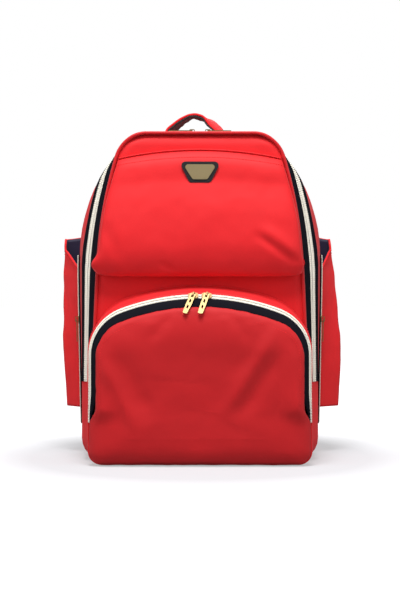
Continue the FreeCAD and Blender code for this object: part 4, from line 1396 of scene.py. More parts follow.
@dataclass
class FrontPocket:
    """The zipped lower pocket: gusset with its rim, zip, and the flap that folds down."""

    line: float = -107.5
    fold: float = 62.0
    cloth: float = 1.2
    flap_edge: float = 17.5
    lean: float = 5.0
    end_height: float = 53.0
    gap: float = 0.55
    row: float = 3.0
    rim: tuple[Point3, ...] = (
        (-69.8, -0.4, 8.6), (-71.2, -0.6, 8.9), (-72.8, -0.2, 8.4), (-75.0, 0.2, 7.3), (-80.0, 0.2, 6.0),
        (-86.0, 0.0, 4.6), (-92.0, -0.2, 3.2), (-97.0, -0.4, 2.0), (-100.0, -0.5, 1.2), (-102.0, -0.4, 0.7),
        (-103.4, 0.1, 0.3), (-104.6, 1.2, 0.0), (-104.9, 2.4, 0.0))
    wrap: tuple[Point2, ...] = (
        (-101.5, -0.2), (-102.4, 0.8), (-103.5, 4.0), (-105.0, 8.0), (-106.5, 12.0), (-108.0, 16.0),
        (-109.0, 19.6), (-110.0, 23.0))
    bend: tuple[Point3, Point3] = ((0.0, -0.1275, 0.052), (0.0, -0.1275, 0.074))
    folds: tuple[Fold, ...] = (
        Fold((98.0, 176.0), (22.0, 52.0), 9.0, 3.2), Fold((112.0, 158.0), (40.0, 50.0), 10.0, -1.8),
        Fold((-122.0, 138.0), (-70.0, 30.0), 8.5, 2.8), Fold((-106.0, 152.0), (-52.0, 48.0), 10.0, -1.6),
        Fold((-30.0, 196.0), (-62.0, 150.0), 7.0, -1.4), Fold((34.0, 198.0), (60.0, 150.0), 7.0, -1.2))

    def gusset(self) -> None:
        """The gusset with the fold of its rim, and the fabric that wraps its lower corners."""
        rows = []
        for y, inset, rise in self.rim:
            flare = smooth_step((-y - 70.0) / 30.0)
            loop = POCKET.loop(inset, rise, (POCKET.half - POCKET.root_half) * (1.0 - flare))
            line = stand(loop, y)
            for point in line:
                point[2] += 0.5 * wrinkle(point, 26.0, 9.1) * smooth_step((-74.0 - y) / 8.0)
                point[0] += 0.5 * wrinkle(point, 30.0, 4.1) * smooth_step((-74.0 - y) / 8.0)
                point[2] = max(point[2], 0.4)
            rows.append(line)
        wall = grid("pocket_gusset_fabric", np.array(rows)[::-1], round_columns=True, flip=True)
        thicken(wall, self.cloth, NAVY, RED)
        wear(wall, RED, "pack", "front_pocket_gusset")
        rows = []
        for y, inset in self.wrap:
            low = run_below(POCKET.loop(inset), self.fold + 0.8, 150)
            rows.append(stand(low, y))
        corner = thicken(grid("pocket_corner_fabric", np.array(rows)[::-1]), self.cloth, NAVY, RED)
        wear(corner, RED, "pack", "front_pocket_base")
        line = POCKET.over(-73.9, -0.4, self.fold + 10, 220, 8.0)
        thread = stitches("rim_stitches", [line], [steady((0.0, -0.6, 0.8), len(line))], RED, 0.5)
        wear(thread, RED, "pack")

    def face(self) -> np.ndarray:
        """Rings of the flap's fabric, from its sewn edge to the middle of its face.

        Returns:
            Rings of points.
        """
        ends = [(y, inset) for y, inset in POCKET.profile if inset > self.flap_edge]
        start = POCKET.profile[2]
        share = (self.flap_edge - start[1]) / (ends[0][1] - start[1])
        first = (start[0] + (ends[0][0] - start[0]) * share, self.flap_edge)
        line = resample(smoothed(np.array([first, *ends]), 2), 26)
        line[:, 0] -= 1.1 * ease((line[:, 1] - self.flap_edge) / 3.5)
        rings = [stand(POCKET.loop(inset), y) for y, inset in line]
        hem = stand(POCKET.loop(3.0), -106.5)
        for index, ring in enumerate(rings):
            share = ease((70.0 - ring[:, 2]) / 18.0) * (1.0 - index / len(rings)) ** 2
            ring += (hem - ring) * share[:, None]
        inner = toward_core(POCKET.loop(line[-1, 1]), lambda ring: line[-1, 0] - 0.8 * ease(ring[:, 2]),
                            (70.0, 100.0), np.linspace(0.0, 1.0, 20)[1:])
        return np.concatenate([np.array(rings), inner])

    def shape(self, points: np.ndarray) -> None:
        """Adds the folds, the slack and the gathered edge to the flap.

        Args:
            points: Grid of points, which it moves.
        """
        x, z = points[:, :, 0].copy(), points[:, :, 2].copy()
        rows = np.arange(points.shape[0])[:, None] * np.ones(points.shape[1])
        soft = wrinkles(x, z, 74.0, 4.4)
        gathers = wrinkles(x, z, 9.0, 2.2, 2)
        edge = np.exp(-((rows / 5.5) ** 2)) * ease((z - 66.0) / 14.0)
        free = ease((rows - 1.0) / 6.0)
        out = 1.8 * soft * free + 0.9 * gathers * edge
        for fold in self.folds:
            out += free * fold.rise(x, z)
        out += self.lean * (ease((z - 60.0) / 110.0) - 1.0) * ease((rows - 3.0) / 20.0)
        points[:, :, 1] -= out
        inward = np.stack([-x, 110.0 - z], axis=2)
        inward /= np.maximum(np.linalg.norm(inward, axis=2, keepdims=True), 1e-6)
        points[:, :, 0] += inward[:, :, 0] * gathers * edge * 0.8
        points[:, :, 2] += inward[:, :, 1] * gathers * edge * 0.8

    def flap(self) -> None:
        """The flap's fabric and its stitched edge."""
        points = self.face()
        self.shape(points)
        cloth = weld(grid("pocket_flap_fabric", points, round_columns=True))
        edge_y = float(points[3, 0, 1])
        inflate(cloth, 0.0, 0.5, 1.5, lambda point: point.y > edge_y)
        # The flap's outer side takes the darker red, which paints the shade on the flap.
        thicken(cloth, self.cloth, NAVY, RED_PAINTED_SHADE)
        wear_across(cloth, RED_PAINTED_SHADE, ("pack", "flap"), *self.bend, "flap_panel")
        ring = points[4]
        loop = np.roll(ring, -int(np.argmin(ring[:, 2])), axis=0)
        loop = loop[loop[:, 2] > self.fold + 12] + [0.0, -0.35, 0.0]
        thread = stitches("flap_edge_stitches", [loop], [steady((0.0, -0.9, 0.3), len(loop))], RED)
        wear(thread, RED, "flap")

    def strip(self, name: str, near: float, far: float, top: float, bottom: float,
              finish: Finish) -> bpy.types.Object:
        """A closed strip on the slope of the arch.

        Args:
            name: Name of the object.
            near: Its near edge.
            far: Its far edge.
            top: Its outer side.
            bottom: Its inner side.
            finish: Its finish.

        Returns:
            The strip.
        """
        section = [(near, bottom), (far, bottom), (far, top), (far - 0.2 * (far - near), top + 0.15),
                   (near + 0.2 * (far - near), top + 0.15), (near, top)]
        rows = POCKET.sloped(self.line, self.end_height, section, 260)
        thing = outward(grid(name, rows, round_rows=True, caps=True))
        thing.data.materials.append(finish.material())
        return thing

    def teeth(self, name: str, middle: float) -> bpy.types.Object:
        """A row of teeth on its core, centred on the slope.

        Args:
            name: Name of the object.
            middle: Its middle line.

        Returns:
            The row of teeth.
        """
        core = self.strip(name, middle - self.row / 2, middle + self.row / 2, 0.0, -0.9, CREAM)
        line = POCKET.sloped(self.line, self.end_height + 1.0, [(middle, 0.15)], 260)[0]
        along = np.gradient(line, axis=0)
        facing = np.cross(along, np.tile([0.0, 1.0, 0.0], (len(line), 1)))
        facing /= np.linalg.norm(facing, axis=1, keepdims=True)
        facing *= np.sign(np.sum(facing * (line - [0.0, 0.0, 90.0]), axis=1, keepdims=True))
        facing += [0.0, -1.0, 0.0]
        row = beads(name + "_beads", [line], [facing], COIL_PITCH, (0.8, self.row * 0.49, 0.55), CREAM,
                    ODD_SIZE)
        return joined(core, row)

    def zip(self) -> None:
        """The zip round the arch: outer half on the gusset, inner half on the flap."""
        middle = self.gap + self.row / 2
        outer = self.teeth("pocket_zip_outer_teeth", -middle)
        wear(outer, CREAM, "pack", "pocket_zip_teeth_outer")
        inner = self.teeth("pocket_zip_inner_teeth", middle)
        wear(inner, CREAM, "flap", "flap_zip_teeth")
        rows = []
        for y, inset in ((-106.6, 6.2), (-111.4, 8.2), (-113.2, 9.8), (-116.0, 14.5), (-119.0, 20.5)):
            rows.append(POCKET.over(y, inset, self.end_height, 260))
        edge = POCKET.over(-105.0, 4.0, self.end_height, 260)
        points = POCKET.tapered(np.array(rows), edge, self.end_height)
        for point in points[2:].reshape(-1, 3):
            point[1] -= 0.45 * wrinkle(point, 8.0, 2.9, 2)
        tape = thicken(grid("flap_zip_tape_cloth", points), 0.8, None, TAPE)
        wear(tape, TAPE, "flap", "flap_zip_tape")
        tape = self.strip("gusset_zip_tape_cloth", -6.0, -self.gap - self.row + 0.2, -0.3, -1.1, TAPE)
        wear(tape, TAPE, "pack")

    def build(self) -> None:
        """Makes the pocket."""
        self.gusset()
        self.flap()
        self.zip()


# ------------------------------------------------------------------ side zips and side pockets


@dataclass
class SideZips:
    """A short zip in the gusset on each side."""

    line: float = 8.0
    low: float = 42.4
    high: float = 261.6
    ridge: float = 1.7
    body: str = "pack"

    def wall(self, sign: int, section: Sequence[Point2], low: float, high: float,
             count: int = 120) -> np.ndarray:
        """Rows up the side of the skin for points (y, outwards).

        Args:
            sign: -1 for the left side, 1 for the right.
            section: Points (depth, distance from the skin).
            low: Height where it starts.
            high: Height where it ends.
            count: Points in each line.

        Returns:
            Rows of points.
        """
        rows = []
        for y, out in section:
            heights = np.linspace(low, high, count)
            loop = PACK.loop(y)
            right = loop[(loop[:, 0] > 0) & (loop[:, 1] > 20.0)]
            order = np.argsort(right[:, 1])
            x = np.interp(heights, right[order, 1], right[order, 0])
            swell = self.ridge * math.exp(-((y - self.line) / 6.0) ** 2)
            rows.append(np.stack([sign * (x + out + swell), np.full(count, y), heights], axis=1))
        return np.array(rows)

    def strip(self, name: str, sign: int, near: float, far: float, lift: float,
              finish: Finish) -> bpy.types.Object:
        """A closed strip that lies on the side.

        Args:
            name: Name of the object.
            sign: -1 for the left side, 1 for the right.
            near: Its near edge.
            far: Its far edge.
            lift: How far it stands off the side.
            finish: Its finish.

        Returns:
            The strip.
        """
        edge = 0.2 * (far - near)
        flat = [(near, lift - 0.9), (near, lift), (near + edge, lift + 0.2), (far - edge, lift + 0.2),
                (far, lift), (far, lift - 0.9)]
        thing = outward(grid(name, self.wall(sign, flat, self.low, self.high), round_rows=True, caps=True))
        thing.data.materials.append(finish.material())
        return thing

    def build(self) -> None:
        """Makes tapes, teeth and the stitching beside them."""
        for side, sign in SIDES.items():
            front = self.strip(f"side_zip_tape_cloth_{side}", sign, 1.0, 4.6, 0.95, TAPE)
            rear = self.strip(f"side_zip_tape_rear_{side}", sign, 11.4, 19.6, 0.95, TAPE)
            wear(joined(front, rear), TAPE, self.body, f"side_zip_tape_{side}")
            parts = []
            for middle, half in ((-2.7, 2.25), (2.0, 1.55)):
                at = self.line + middle
                core = self.strip(f"side_zip_row_{side}", sign, at - half, at + half, 1.0, CREAM)
                line = self.wall(sign, [(at, 1.15)], self.low + 1, self.high - 1)[0]
                coil = beads(f"side_zip_beads_{side}", [line], [steady((sign, 0.0, 0.0), len(line))],
                             COIL_PITCH, (0.8, half, 0.6), CREAM, ODD_SIZE)
                parts += [core, coil]
            wear(joined(*parts), CREAM, self.body, f"side_zip_teeth_{side}")
            lines = [self.wall(sign, [(y, 1.2)], self.low, self.high)[0] for y in (1.9, 18.6)]
            thread = stitches(f"side_zip_stitches_{side}", lines, [steady((sign, 0.0, 0.0), 120)] * 2, TAPE)
            wear(thread, TAPE, self.body)


@dataclass
class SidePockets:
    """Open pockets behind the side zips, with a dark lining and a folded mouth."""

    floor: float = 62.0
    mouth_at: float = 243.0
    corner_rise: float = 12.0
    mouth_y: float = 20.0
    mouth_slope: float = 0.9375
    reach: tuple[Point2, ...] = ((0.0, 178.0), (70.0, 182.5), (130.0, 183.5), (240.0, 181.5))
    flare: tuple[Point2, ...] = ((0.0, 8.0), (60.0, 6.5), (120.0, 2.5), (190.0, -4.0), (240.0, -8.0))
    hub: Point2 = (150.0, 45.0)
    cloth: float = 1.2
    body: str = "pack"
    table: dict[int, np.ndarray] = field(default_factory=dict)

    def plan(self, height: float) -> np.ndarray:
        """Path round the right pocket at a height, from its front seam to its back seam, as (x, y).

        Args:
            height: Height.

        Returns:
            Points (x, y).
        """
        rises, reaches = zip(*self.reach)
        out = float(np.interp(height - self.floor, rises, reaches))
        lean = smooth_step((height - 130.0) / 120.0)
        corners = [(140.0, 20.0, 0.01), (160.0, 20.0, 6.0), (out, 40.0 + 15.0 * lean, 12.0 - 10.0 * lean),
                   (out, 62.0, 9.0 - 7.0 * lean), (150.0, 69.0, 6.0), (140.0, 69.0, 0.01)]
        loop = rounded_loop(corners, (1, 6, 8, 8, 6, 1), (10, 16, 10, 16, 10, 20))
        return loop[:-19]

    def wall(self, sign: int) -> np.ndarray:
        """Rows from the floor up to the slanted mouth.

        Args:
            sign: -1 for the left side, 1 for the right.

        Returns:
            Rows of points.
        """
        base = self.plan(self.floor)
        corner = ease((base[:, 0] - 158.0) / 18.0) * ease((66.0 - base[:, 1]) / 16.0)
        mouths = self.mouth_at + self.mouth_slope * (base[:, 1] - self.mouth_y) + self.corner_rise * corner
        rows = [np.column_stack([self.hub + (base - self.hub) * share, np.full(len(base), self.floor + 0.2)])
                for share in (0.1, 0.5, 0.9)]
        for share in np.linspace(0.0, 1.0, 60):
            ring = []
            for index, mouth in enumerate(mouths):
                height = self.floor + (mouth - self.floor) * share
                x, y = self.plan_at(height, index)
                point = np.array([x, y, height])
                bulge = math.sin(math.pi * share)
                point[0] += 1.6 * wrinkle(point, 44.0, 7.7) * min(bulge * 2.0, 1.0) * (x > 158.0)
                ring.append(point)
            rows.append(np.array(ring))
        points = np.array(rows)
        if sign > 0:
            rises, outs = zip(*self.flare)
            lean = np.interp(points[:, :, 2] - self.floor, rises, outs)
            points[:, :, 0] += lean * np.clip((points[:, :, 0] - 160.0) / 20.0, 0.0, 1.0)
        points[:, :, 0] *= sign
        return points

    def plan_at(self, height: float, index: int) -> Point2:
        """One point of the path at a height, from a table made once for every 4 mm.

        Args:
            height: Height.
            index: Number of the point.

        Returns:
            The point (x, y).
        """
        step = int(round((height - self.floor) / 4.0))
        if step not in self.table:
            self.table[step] = self.plan(self.floor + 4.0 * step)
        x, y = self.table[step][index]
        if x > self.hub[0]:
            rises, reaches = zip(*self.reach)
            shift = np.interp(height - self.floor, rises, reaches) - np.interp(4.0 * step, rises, reaches)
            x += float(shift) * (x - self.hub[0]) / 30.0
        return float(x), float(y)

    def build(self) -> None:
        """Makes both pockets with lining, mouth and seams."""
        for side, sign in SIDES.items():
            points = self.wall(sign)
            cloth = grid(f"side_pocket_cloth_{side}", points, flip=sign < 0)
            thicken(cloth, self.cloth, NAVY, RED)
            wear(cloth, RED, self.body, f"side_pocket_{side}")
            inner = points[2:].copy()
            inner[:, :, 0] -= sign * 2.6 * ease((np.abs(inner[:, :, 0]) - 150.0) / 12.0)
            off = self.hub[1] - inner[:, :, 1]
            inner[:, :, 1] += 2.2 * np.sign(off) * ease(np.abs(off) / 20.0)
            inner[-1, :, 2] -= 1.0
            lining = grid(f"side_pocket_lining_cloth_{side}", inner, flip=sign < 0)
            thicken(lining, 0.5, None, NAVY)
            wear(lining, NAVY, self.body, f"side_pocket_lining_{side}")
            mouth = points[-1]
            rim = np.array([mouth + [sign * (-0.6 + 1.5 * math.cos(t)), 0.0, 1.6 * math.sin(t) - 0.8]
                            for t in circle(8)])
            fold = outward(grid(f"side_pocket_mouth_{side}", rim, round_rows=True, caps=True))
            wear(fold, RED, self.body)
            line = points[-3] + [sign * 0.3, 0.0, 0.0]
            facing = np.column_stack([np.full(len(line), float(sign)), 0.6 * np.sign(line[:, 1] - 45.0),
                                      np.zeros(len(line))])
            thread = stitches(f"side_pocket_stitches_{side}", [line], [facing], RED)
            wear(thread, RED, self.body)


# ------------------------------------------------------------------ handle


@dataclass
class Handle:
    """The grab handle: a wide strap standing as an uneven arch, over a wrinkled lining."""

    path: tuple[Point2, ...] = (
        (-43.0, 410.2), (-46.0, 413.6), (-46.0, 418.0), (-42.0, 423.0), (-31.0, 431.6), (-19.5, 440.4),
        (-9.0, 444.4), (1.0, 442.8), (10.6, 437.6), (20.0, 430.4), (27.0, 423.0), (31.0, 416.0),
        (32.0, 410.2))
    line_y: float = -10.0
    wide: float = 15.0
    narrow: float = 12.0
    pivot: float = 424.6
    seat: tuple[Point2, ...] = (
        (-29.0, 0.2), (-28.4, 1.2), (-20.0, 1.5), (-10.0, 1.5), (0.0, 1.5), (8.4, 1.2), (9.0, 0.2))
    body: str = "handle"

    def band(self, name: str, inset: float, thickness: float, rough: float) -> bpy.types.Object:
        """A band along the arch, with rounded edges.

        Args:
            name: Name of the object.
            inset: How far below the outer side it lies.
            thickness: Its thickness.
            rough: Height of its wrinkles.

        Returns:
            The band.
        """
        line = resample(smoothed(np.array(self.path), 3), 70)
        along = np.gradient(line, axis=0)
        along /= np.linalg.norm(along, axis=1, keepdims=True)
        inward = np.stack([along[:, 1], -along[:, 0]], axis=1)
        share = np.linspace(-1.0, 1.0, len(line))
        half = self.narrow + (self.wide - self.narrow) * np.abs(share) ** 1.5
        below = np.clip(self.pivot - line[:, 1], 0.0, self.wide)
        half = np.minimum(half, np.sqrt(self.wide ** 2 - below ** 2) + 1.0)
        section = [(-1.0, 0.5), (-0.97, 0.12), (-0.9, 0.0), (-0.45, -0.12), (0.0, -0.16), (0.45, -0.12),
                   (0.9, 0.0), (0.97, 0.12), (1.0, 0.5), (0.97, 0.88), (0.9, 1.0), (0.45, 1.0), (0.0, 1.0),
                   (-0.45, 1.0), (-0.9, 1.0), (-0.97, 0.88)]
        rows = []
        for across, down in section:
            row = []
            for index, (x, z) in enumerate(line):
                uneven = rough * wrinkle((x, across * 12.0, z), 9.0, 3.3, 2)
                depth = inset + down * thickness + uneven - across * self.twist(x)
                row.append((x + inward[index, 0] * depth, self.line_y + across * half[index] + 0.6 * uneven,
                            z + inward[index, 1] * depth))
            rows.append(row)
        return outward(grid(name, np.array(rows), round_rows=True, caps=True))

    @staticmethod
    def twist(x: float) -> float:
        """How far the front edge dips below the middle of the band: the right leg has turned to the front.

        Args:
            x: Place across.

        Returns:
            Millimetres.
        """
        right = smooth_step((x - 2.0) / 16.0) * smooth_step((33.5 - x) / 7.5)
        left = smooth_step((-10.0 - x) / 20.0) * smooth_step((47.5 + x) / 8.0)
        return 5.0 * right - 2.0 * left

    def build(self) -> None:
        """Makes the strap, its lining and the patch that it is sewn to."""
        strap = self.band("handle_strap_cloth", 0.0, 3.0, 0.25)
        wear(strap, RED, self.body, "handle_strap")
        lining = self.band("handle_lining_cloth", 3.0, 2.2, 1.1)
        wear(lining, DARK, self.body, "handle_lining")
        patch = []
        for y, lift in self.seat:
            line = PACK.over(y, -lift, 330.0, 500)
            patch.append(resample(line[np.abs(line[:, 0]) < 49.0], 60))
        seat_patch = thicken(grid("handle_seat_patch", np.array(patch)), 1.0, None, RED)
        wear(seat_patch, RED, "pack", "handle_seat")


# ------------------------------------------------------------------ carrying side


def pillow(name: str, loop: np.ndarray, y: float, core: Point2,
           height: Callable[[np.ndarray], np.ndarray], rings: int = 26) -> bpy.types.Object:
    """A closed flat-backed pad inside an upright outline.

    Args:
        name: Name of the object.
        loop: Outline as (x, z).
        y: Depth of its flat side.
        core: Heights between which it shrinks to its middle line.
        height: Thickness for rows of (x, z, share).
        rings: Rings from its edge to its middle.

    Returns:
        The pad.
    """
    shares = np.linspace(0.0, 1.0, rings) ** 1.3
    crown = toward_core(loop, lambda ring: y + height(ring), core, shares)
    flat = toward_core(loop, lambda ring: np.full(len(ring), y), core, shares[::-1][:-1:4])
    return outward(grid(name, np.concatenate([crown[::-1], flat[::-1]]), round_columns=True))


@dataclass
class BackPanel:
    """Padded back with its channels, the yoke over the straps and their lower anchors."""

    seam_y: float = 70.2
    thick: float = 8.6
    levels: tuple[float, ...] = (110.0, 180.0, 250.0)
    channel: float = 0.62
    binding: float = 1.2
    anchor_x: float = 124.0
    body: str = "pack"

    def height(self, ring: np.ndarray) -> np.ndarray:
        """Thickness of the pad, less its channels.

        Args:
            ring: Rows of (x, z, share of the way in).

        Returns:
            Thickness at each point.
        """
        edge = np.sqrt(np.clip(ring[:, 2] / 0.11, 0.0, 1.0))
        upright = np.exp(-((ring[:, 0] / 9.0) ** 4)) * ease((ring[:, 1] - 30.0) / 14.0)
        cut = self.channel * upright
        for level in self.levels:
            across = np.exp(-(((ring[:, 1] - level) / 5.5) ** 2)) * ease((104.0 - np.abs(ring[:, 0])) / 12.0)
            cut = np.maximum(cut, self.channel * across)
        return 0.8 + self.thick * edge * (1.0 - cut)

    def build(self) -> None:
        """Makes the pad, the yoke and the anchors."""
        low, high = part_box("back_pad")
        bottom, top = low.z / MM, high.z / MM
        half = [(104.0, bottom, 22.0), (high.x / MM, 250.0, 90.0), (98.0, top, 30.0)]
        loop = rounded_loop(mirrored(half), (8, 6, 10, 10, 6, 8), (40, 12, 34, 12, 40, 34))
        pad = pillow("back_pad_cloth", loop, self.seam_y, (110.0, 250.0), self.height, 40)
        inflate(pad, 5.0, 1.2, 1.4, lambda p: p.y < self.seam_y + 1.0)
        wear(pad, MESH_BLOCK, self.body, "back_pad")
        side = np.column_stack([np.sign(loop[:, 0]), np.zeros(len(loop)), np.zeros(len(loop))])
        edge = np.array([stand(loop, self.seam_y + self.binding * (1.0 + math.sin(t))) +
                         self.binding * math.cos(t) * side for t in circle(8)])
        trim = outward(grid("back_pad_binding", edge, round_rows=True, round_columns=True))
        wear(trim, WEBBING, self.body)

        half = [(84.0, 336.0, 12.0), (66.0, 386.0, 16.0)]
        loop = rounded_loop(mirrored(half), (8, 8, 8, 8), (14, 30, 14, 40))
        yoke = pillow("yoke_cloth", loop, self.seam_y, (355.0, 365.0),
                      lambda ring: 0.6 + 2.6 * np.sqrt(np.clip(ring[:, 2] / 0.12, 0.0, 1.0)), 14)
        wear(yoke, DARK, self.body, "yoke_panel")
        lines = [stand(loop * share + [0.0, 360.0 * (1 - share)], self.seam_y + 3.2)
                 for share in (0.90, 0.84)]
        thread = stitches("yoke_stitches", lines, [steady((0.0, 1.0, 0.0), len(loop))] * 2, WEBBING)
        wear(thread, WEBBING, self.body)
        for side, sign in SIDES.items():
            corners = [(108.0, 20.0, 3.0), (140.0, 20.0, 4.0), (140.0, 66.0, 6.0), (108.0, 33.6, 3.0)]
            loop = rounded_loop(corners, (5, 5, 5, 5), (12, 14, 16, 8)) * [sign, 1.0]
            centred = loop - [sign * self.anchor_x, 0.0]
            anchor = pillow(f"strap_anchor_cloth_{side}", centred, self.seam_y, (28.0, 40.0),
                            lambda ring: 0.6 + 2.4 * np.sqrt(np.clip(ring[:, 2] / 0.2, 0.0, 1.0)), 9)
            anchor.data.transform(Matrix.Translation((sign * self.anchor_x * MM, 0.0, 0.0)))
            wear(anchor, DARK, self.body, f"strap_anchor_{side}")


@dataclass
class Straps:
    """Padded shoulder straps with edge binding and webbing, ladder locks and lower webbing."""

    top: float = 372.0
    bottom: float = 132.0
    thick: float = 9.0
    route: tuple[Point2, ...] = ((73.9, 372.0), (89.0, 319.2), (107.0, 252.0), (101.0, 184.8),
                                              (83.0, 132.0))
    inner: tuple[Point2, ...] = ((372.0, 26.0), (300.0, 40.0), (210.0, 70.0), (132.0, 100.0))
    outer: tuple[Point2, ...] = ((372.0, 82.0), (300.0, 98.0), (210.0, 118.0), (132.0, 136.0))
    webbing: tuple[Point2, ...] = (
        (-12.5, 0.2), (-12.5, 1.3), (-11.0, 1.7), (11.0, 1.7), (12.5, 1.3), (12.5, 0.2))
    lower_webbing: tuple[Point2, ...] = (
        (-12.5, -0.6), (-12.2, -0.8), (12.2, -0.8), (12.5, -0.6), (12.5, 0.6), (12.2, 0.8), (-12.2, 0.8),
        (-12.5, 0.6))

    @staticmethod
    def through(points: Sequence[Point2], places: np.ndarray) -> np.ndarray:
        """Smooth values at falling places through (place, value) points.

        Args:
            points: Pairs of (place, value).
            places: Places where a value is wanted.

        Returns:
            Values at the places.
        """
        keys = np.array([key for key, _ in points])
        values = np.array([value for _, value in points])
        return np.polyval(np.polyfit(keys, values, len(points) - 1), places)

    def lines(self, sign: int) -> tuple[np.ndarray, np.ndarray, np.ndarray, np.ndarray]:
        """Heights, and along them the back side's depth and both edges.

        Args:
            sign: -1 for the left side, 1 for the right.

        Returns:
            Heights, depths, inner edge and outer edge.
        """
        heights = np.linspace(self.top - 0.5, self.bottom + 0.5, 80)
        depth = self.through([(z, y) for y, z in self.route], heights)
        near, far = (sign * self.through(edge, heights) for edge in (self.inner, self.outer))
        return heights, depth, near, far

    def build(self) -> None:
        """Makes both straps and what is on them."""
        for side, sign in SIDES.items():
            body = f"strap_{side}"
            heights, depth, near, far = self.lines(sign)
            section = [(-1.0, 0.5), (-0.97, 0.2), (-0.88, 0.03), (-0.5, 0.0), (0.0, 0.0), (0.5, 0.0),
                       (0.88, 0.03), (0.97, 0.2), (1.0, 0.5), (0.97, 0.8), (0.88, 0.95), (0.5, 1.0),
                       (0.0, 1.0), (-0.5, 1.0), (-0.88, 0.95), (-0.97, 0.8)]
            middle, half = (near + far) / 2, (far - near) / 2
            slope = np.gradient(depth, heights)
            tilt = 1.0 / np.sqrt(1.0 + slope ** 2)
            rows = []
            for across, up in section:
                rows.append(np.stack([middle + across * half, depth + up * self.thick, heights], axis=1))
            strap = outward(grid(f"shoulder_strap_cloth_{side}", np.array(rows), round_rows=True, caps=True))
            inflate(strap, 5.0, 1.4, 1.3)
            wear(strap, MESH_BLOCK, body, f"shoulder_strap_{side}")
            for name, across in (("near", -1.0), ("far", 1.0)):
                edge = [np.stack([middle + across * (half - 0.4) + 1.5 * np.cos(t) * tilt,
                                  depth + self.thick * 0.5 + 2.4 * np.sin(t), heights], axis=1)
                        for t in circle(8)]
                trim = grid(f"strap_binding_{name}_{side}", np.array(edge), round_rows=True, caps=True)
                wear(outward(trim), WEBBING, body)
            rows = [np.stack([middle + offset, depth + self.thick + lift, heights], axis=1)
                    for offset, lift in self.webbing]
            tape = outward(grid(f"strap_face_webbing_{side}", np.array(rows), round_rows=True, caps=True))
            wear(tape, WEBBING, body)
            lines = [np.stack([middle + offset, depth + self.thick + 1.75, heights], axis=1)
                     for offset in (-10.0, 10.0)]
            back = steady((0.0, 1.0, 0.0), len(heights))
            thread = stitches(f"strap_stitches_{side}", lines, [back, back], WEBBING)
            wear(thread, WEBBING, body)
            self.lower(side, sign, body)
            refinish(f"ladder_lock_{side}", ACETAL)

    def lower(self, side: str, sign: int, body: str) -> None:
        """Webbing from the anchor through the ladder lock, with a free end behind it.

        Args:
            side: "left" or "right".
            sign: -1 for the left side, 1 for the right.
            body: CAD body of the strap.
        """
        low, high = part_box(f"strap_webbing_{side}")
        path = np.array([
            (sign * 124.0, 73.9, low.z / MM - 6.0), (sign * 123.7, 74.6, 46.0), (sign * 122.4, 78.6, 66.0),
            (sign * 120.6, 83.8, 88.0), (sign * 119.4, 86.4, high.z / MM), (sign * 119.0, 86.9, 112.0),
            (sign * 119.0, 91.2, 116.6), (sign * 119.0, 91.4, 111.0), (sign * 119.4, 90.6, 100.0),
            (sign * 120.4, 89.6, 84.0), (sign * 121.0, 89.2, 66.0)])
        line = resample(smoothed(path, 3), 90)
        along = np.gradient(line, axis=0)
        along /= np.linalg.norm(along, axis=1, keepdims=True)
        normal = np.cross(along, np.tile([1.0, 0.0, 0.0], (len(line), 1)))
        rows = [line + np.array([across, 0.0, 0.0]) + normal * up for across, up in self.lower_webbing]
        strip = outward(grid(f"lower_webbing_{side}", np.array(rows), round_rows=True, caps=True))
        start, end = (sign * 0.1235, 0.075, 0.045), (sign * 0.1195, 0.0865, 0.105)
        wear_across(strip, WEBBING, ("pack", body), start, end, f"strap_webbing_{side}")


# ------------------------------------------------------------------ hardware, light and camera


def finish_hardware() -> None:
    """Gives every CAD node that stays in view its own finish."""
    for zip_name in ("main", "front", "side"):
        for side in SIDES:
            refinish(f"{zip_name}_slider_{side}", GOLD)
            refinish(f"{zip_name}_pull_{side}", GOLD)
    for node in ("base_board", "frame_sheet"):
        refinish(node, BOARD)


@dataclass(frozen=True)
class Lamp:
    """A square lamp that faces a point, in metres and watts."""

    name: str
    at: Point3
    aim: Point3
    size: float
    power: float

    def hang(self) -> None:
        """Puts the lamp in the scene."""
        data = bpy.data.lights.new(self.name, "AREA")
        data.shape = "SQUARE"
        data.size = self.size
        data.energy = self.power
        lamp = bpy.data.objects.new(self.name, data)
        lamp.location = self.at
        lamp.rotation_euler = (Vector(self.aim) - Vector(self.at)).to_track_quat("-Z", "Y").to_euler()
        bpy.context.scene.collection.objects.link(lamp)


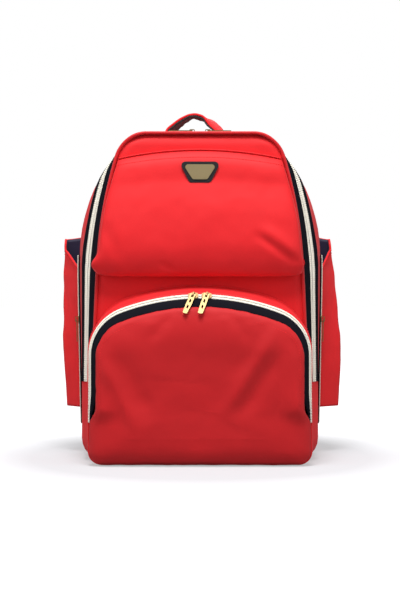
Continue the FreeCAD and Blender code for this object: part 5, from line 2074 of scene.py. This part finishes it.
@dataclass
class Studio:
    """A pale floor that the camera sees as white, soft light from above and the front, and the camera."""

    camera_at: Point3 = (0.0, -1.670, 0.203)
    lens: float = 76.8
    sensor: float = 36.0
    floor: float = 60.0
    glow: float = 0.42
    soft_light: float = 0.26
    lamps: tuple[Lamp, ...] = (
        Lamp("key", (-0.06, -0.86, 1.95), (0.0, -0.05, 0.25), 0.8, 46.0),
        Lamp("fill_left", (-1.7, -1.2, 0.9), (0.0, 0.0, 0.2), 1.2, 10.0),
        Lamp("fill_right", (1.7, -1.2, 0.9), (0.0, 0.0, 0.2), 1.2, 10.0),
        Lamp("back", (0.2, 1.7, 1.7), (0.0, 0.0, 0.25), 1.4, 12.0))

    def white_floor(self) -> None:
        """The floor: white to the camera, except where the object shades it."""
        mesh = bpy.data.meshes.new("floor")
        s = self.floor / 2
        z = CAD_BOX[0].z - 0.0002
        mesh.from_pydata([(-s, -s, z), (s, -s, z), (s, s, z), (-s, s, z)], [], [(0, 1, 2, 3)])
        floor = link("floor", mesh)
        material = bpy.data.materials.new("pale_floor")
        material.use_nodes = True
        tree = material.node_tree
        wire = tree.links.new
        shader = tree.nodes["Principled BSDF"]
        shader.inputs["Base Color"].default_value = (0.34, 0.34, 0.36, 1.0)
        shader.inputs["Roughness"].default_value = 0.9
        shader.inputs["Specular IOR Level"].default_value = 0.0
        shader.inputs["Emission Color"].default_value = (1.0, 1.0, 1.0, 1.0)
        shader.inputs["Emission Strength"].default_value = 0.0
        ray = tree.nodes.new("ShaderNodeLightPath")
        place = tree.nodes.new("ShaderNodeTexCoord")
        reach = tree.nodes.new("ShaderNodeVectorMath")
        reach.operation = "LENGTH"
        grow = tree.nodes.new("ShaderNodeMapRange")
        grow.inputs["From Min"].default_value = 0.22
        grow.inputs["From Max"].default_value = 0.42
        grow.inputs["To Min"].default_value = self.glow
        share = tree.nodes.new("ShaderNodeMath")
        share.operation = "MULTIPLY"
        wire(place.outputs["Object"], reach.inputs[0])
        wire(reach.outputs["Value"], grow.inputs["Value"])
        wire(grow.outputs["Result"], share.inputs[1])
        wire(ray.outputs["Is Camera Ray"], share.inputs[0])
        wire(share.outputs[0], shader.inputs["Emission Strength"])
        mesh.materials.append(material)

    def world(self) -> None:
        """Even light from all round, and white where the camera sees past the floor."""
        world = bpy.data.worlds.new("studio")
        bpy.context.scene.world = world
        world.use_nodes = True
        tree = world.node_tree
        wire = tree.links.new
        soft = tree.nodes["Background"]
        soft.inputs["Color"].default_value = (0.97, 0.98, 1.0, 1.0)
        soft.inputs["Strength"].default_value = self.soft_light
        bright = tree.nodes.new("ShaderNodeBackground")
        bright.inputs["Color"].default_value = (1.0, 1.0, 1.0, 1.0)
        bright.inputs["Strength"].default_value = 1.0
        ray = tree.nodes.new("ShaderNodeLightPath")
        blend = tree.nodes.new("ShaderNodeMixShader")
        output = next(node for node in tree.nodes if node.type == "OUTPUT_WORLD")
        wire(ray.outputs["Is Camera Ray"], blend.inputs[0])
        wire(soft.outputs[0], blend.inputs[1])
        wire(bright.outputs[0], blend.inputs[2])
        wire(blend.outputs[0], output.inputs["Surface"])

    def build(self) -> None:
        """Sets up the stage."""
        scene = bpy.context.scene
        scene.view_settings.view_transform = "Standard"
        self.white_floor()
        self.world()
        for lamp in self.lamps:
            lamp.hang()
        data = bpy.data.cameras.new("camera")
        data.lens = self.lens
        data.sensor_width = self.sensor
        data.clip_end = 100.0
        camera = bpy.data.objects.new("camera", data)
        camera.location = self.camera_at
        camera.rotation_euler = (math.pi / 2, 0.0, 0.0)
        scene.collection.objects.link(camera)
        scene.camera = camera


def main() -> None:
    """Builds every sub-assembly, in order, and the stage."""
    logging.basicConfig(level=logging.INFO, format="%(name)s %(message)s")
    Studio().build()
    for assembly in (Tub(), FrontFabric(), MainZip(), UpperPocket(), FrontPocket(), SideZips(), SidePockets(),
                     Handle(), BackPanel(), Straps()):
        assembly.build()
        log.info("%s done", type(assembly).__name__)
    finish_hardware()


if __name__ == "__main__":
    main()
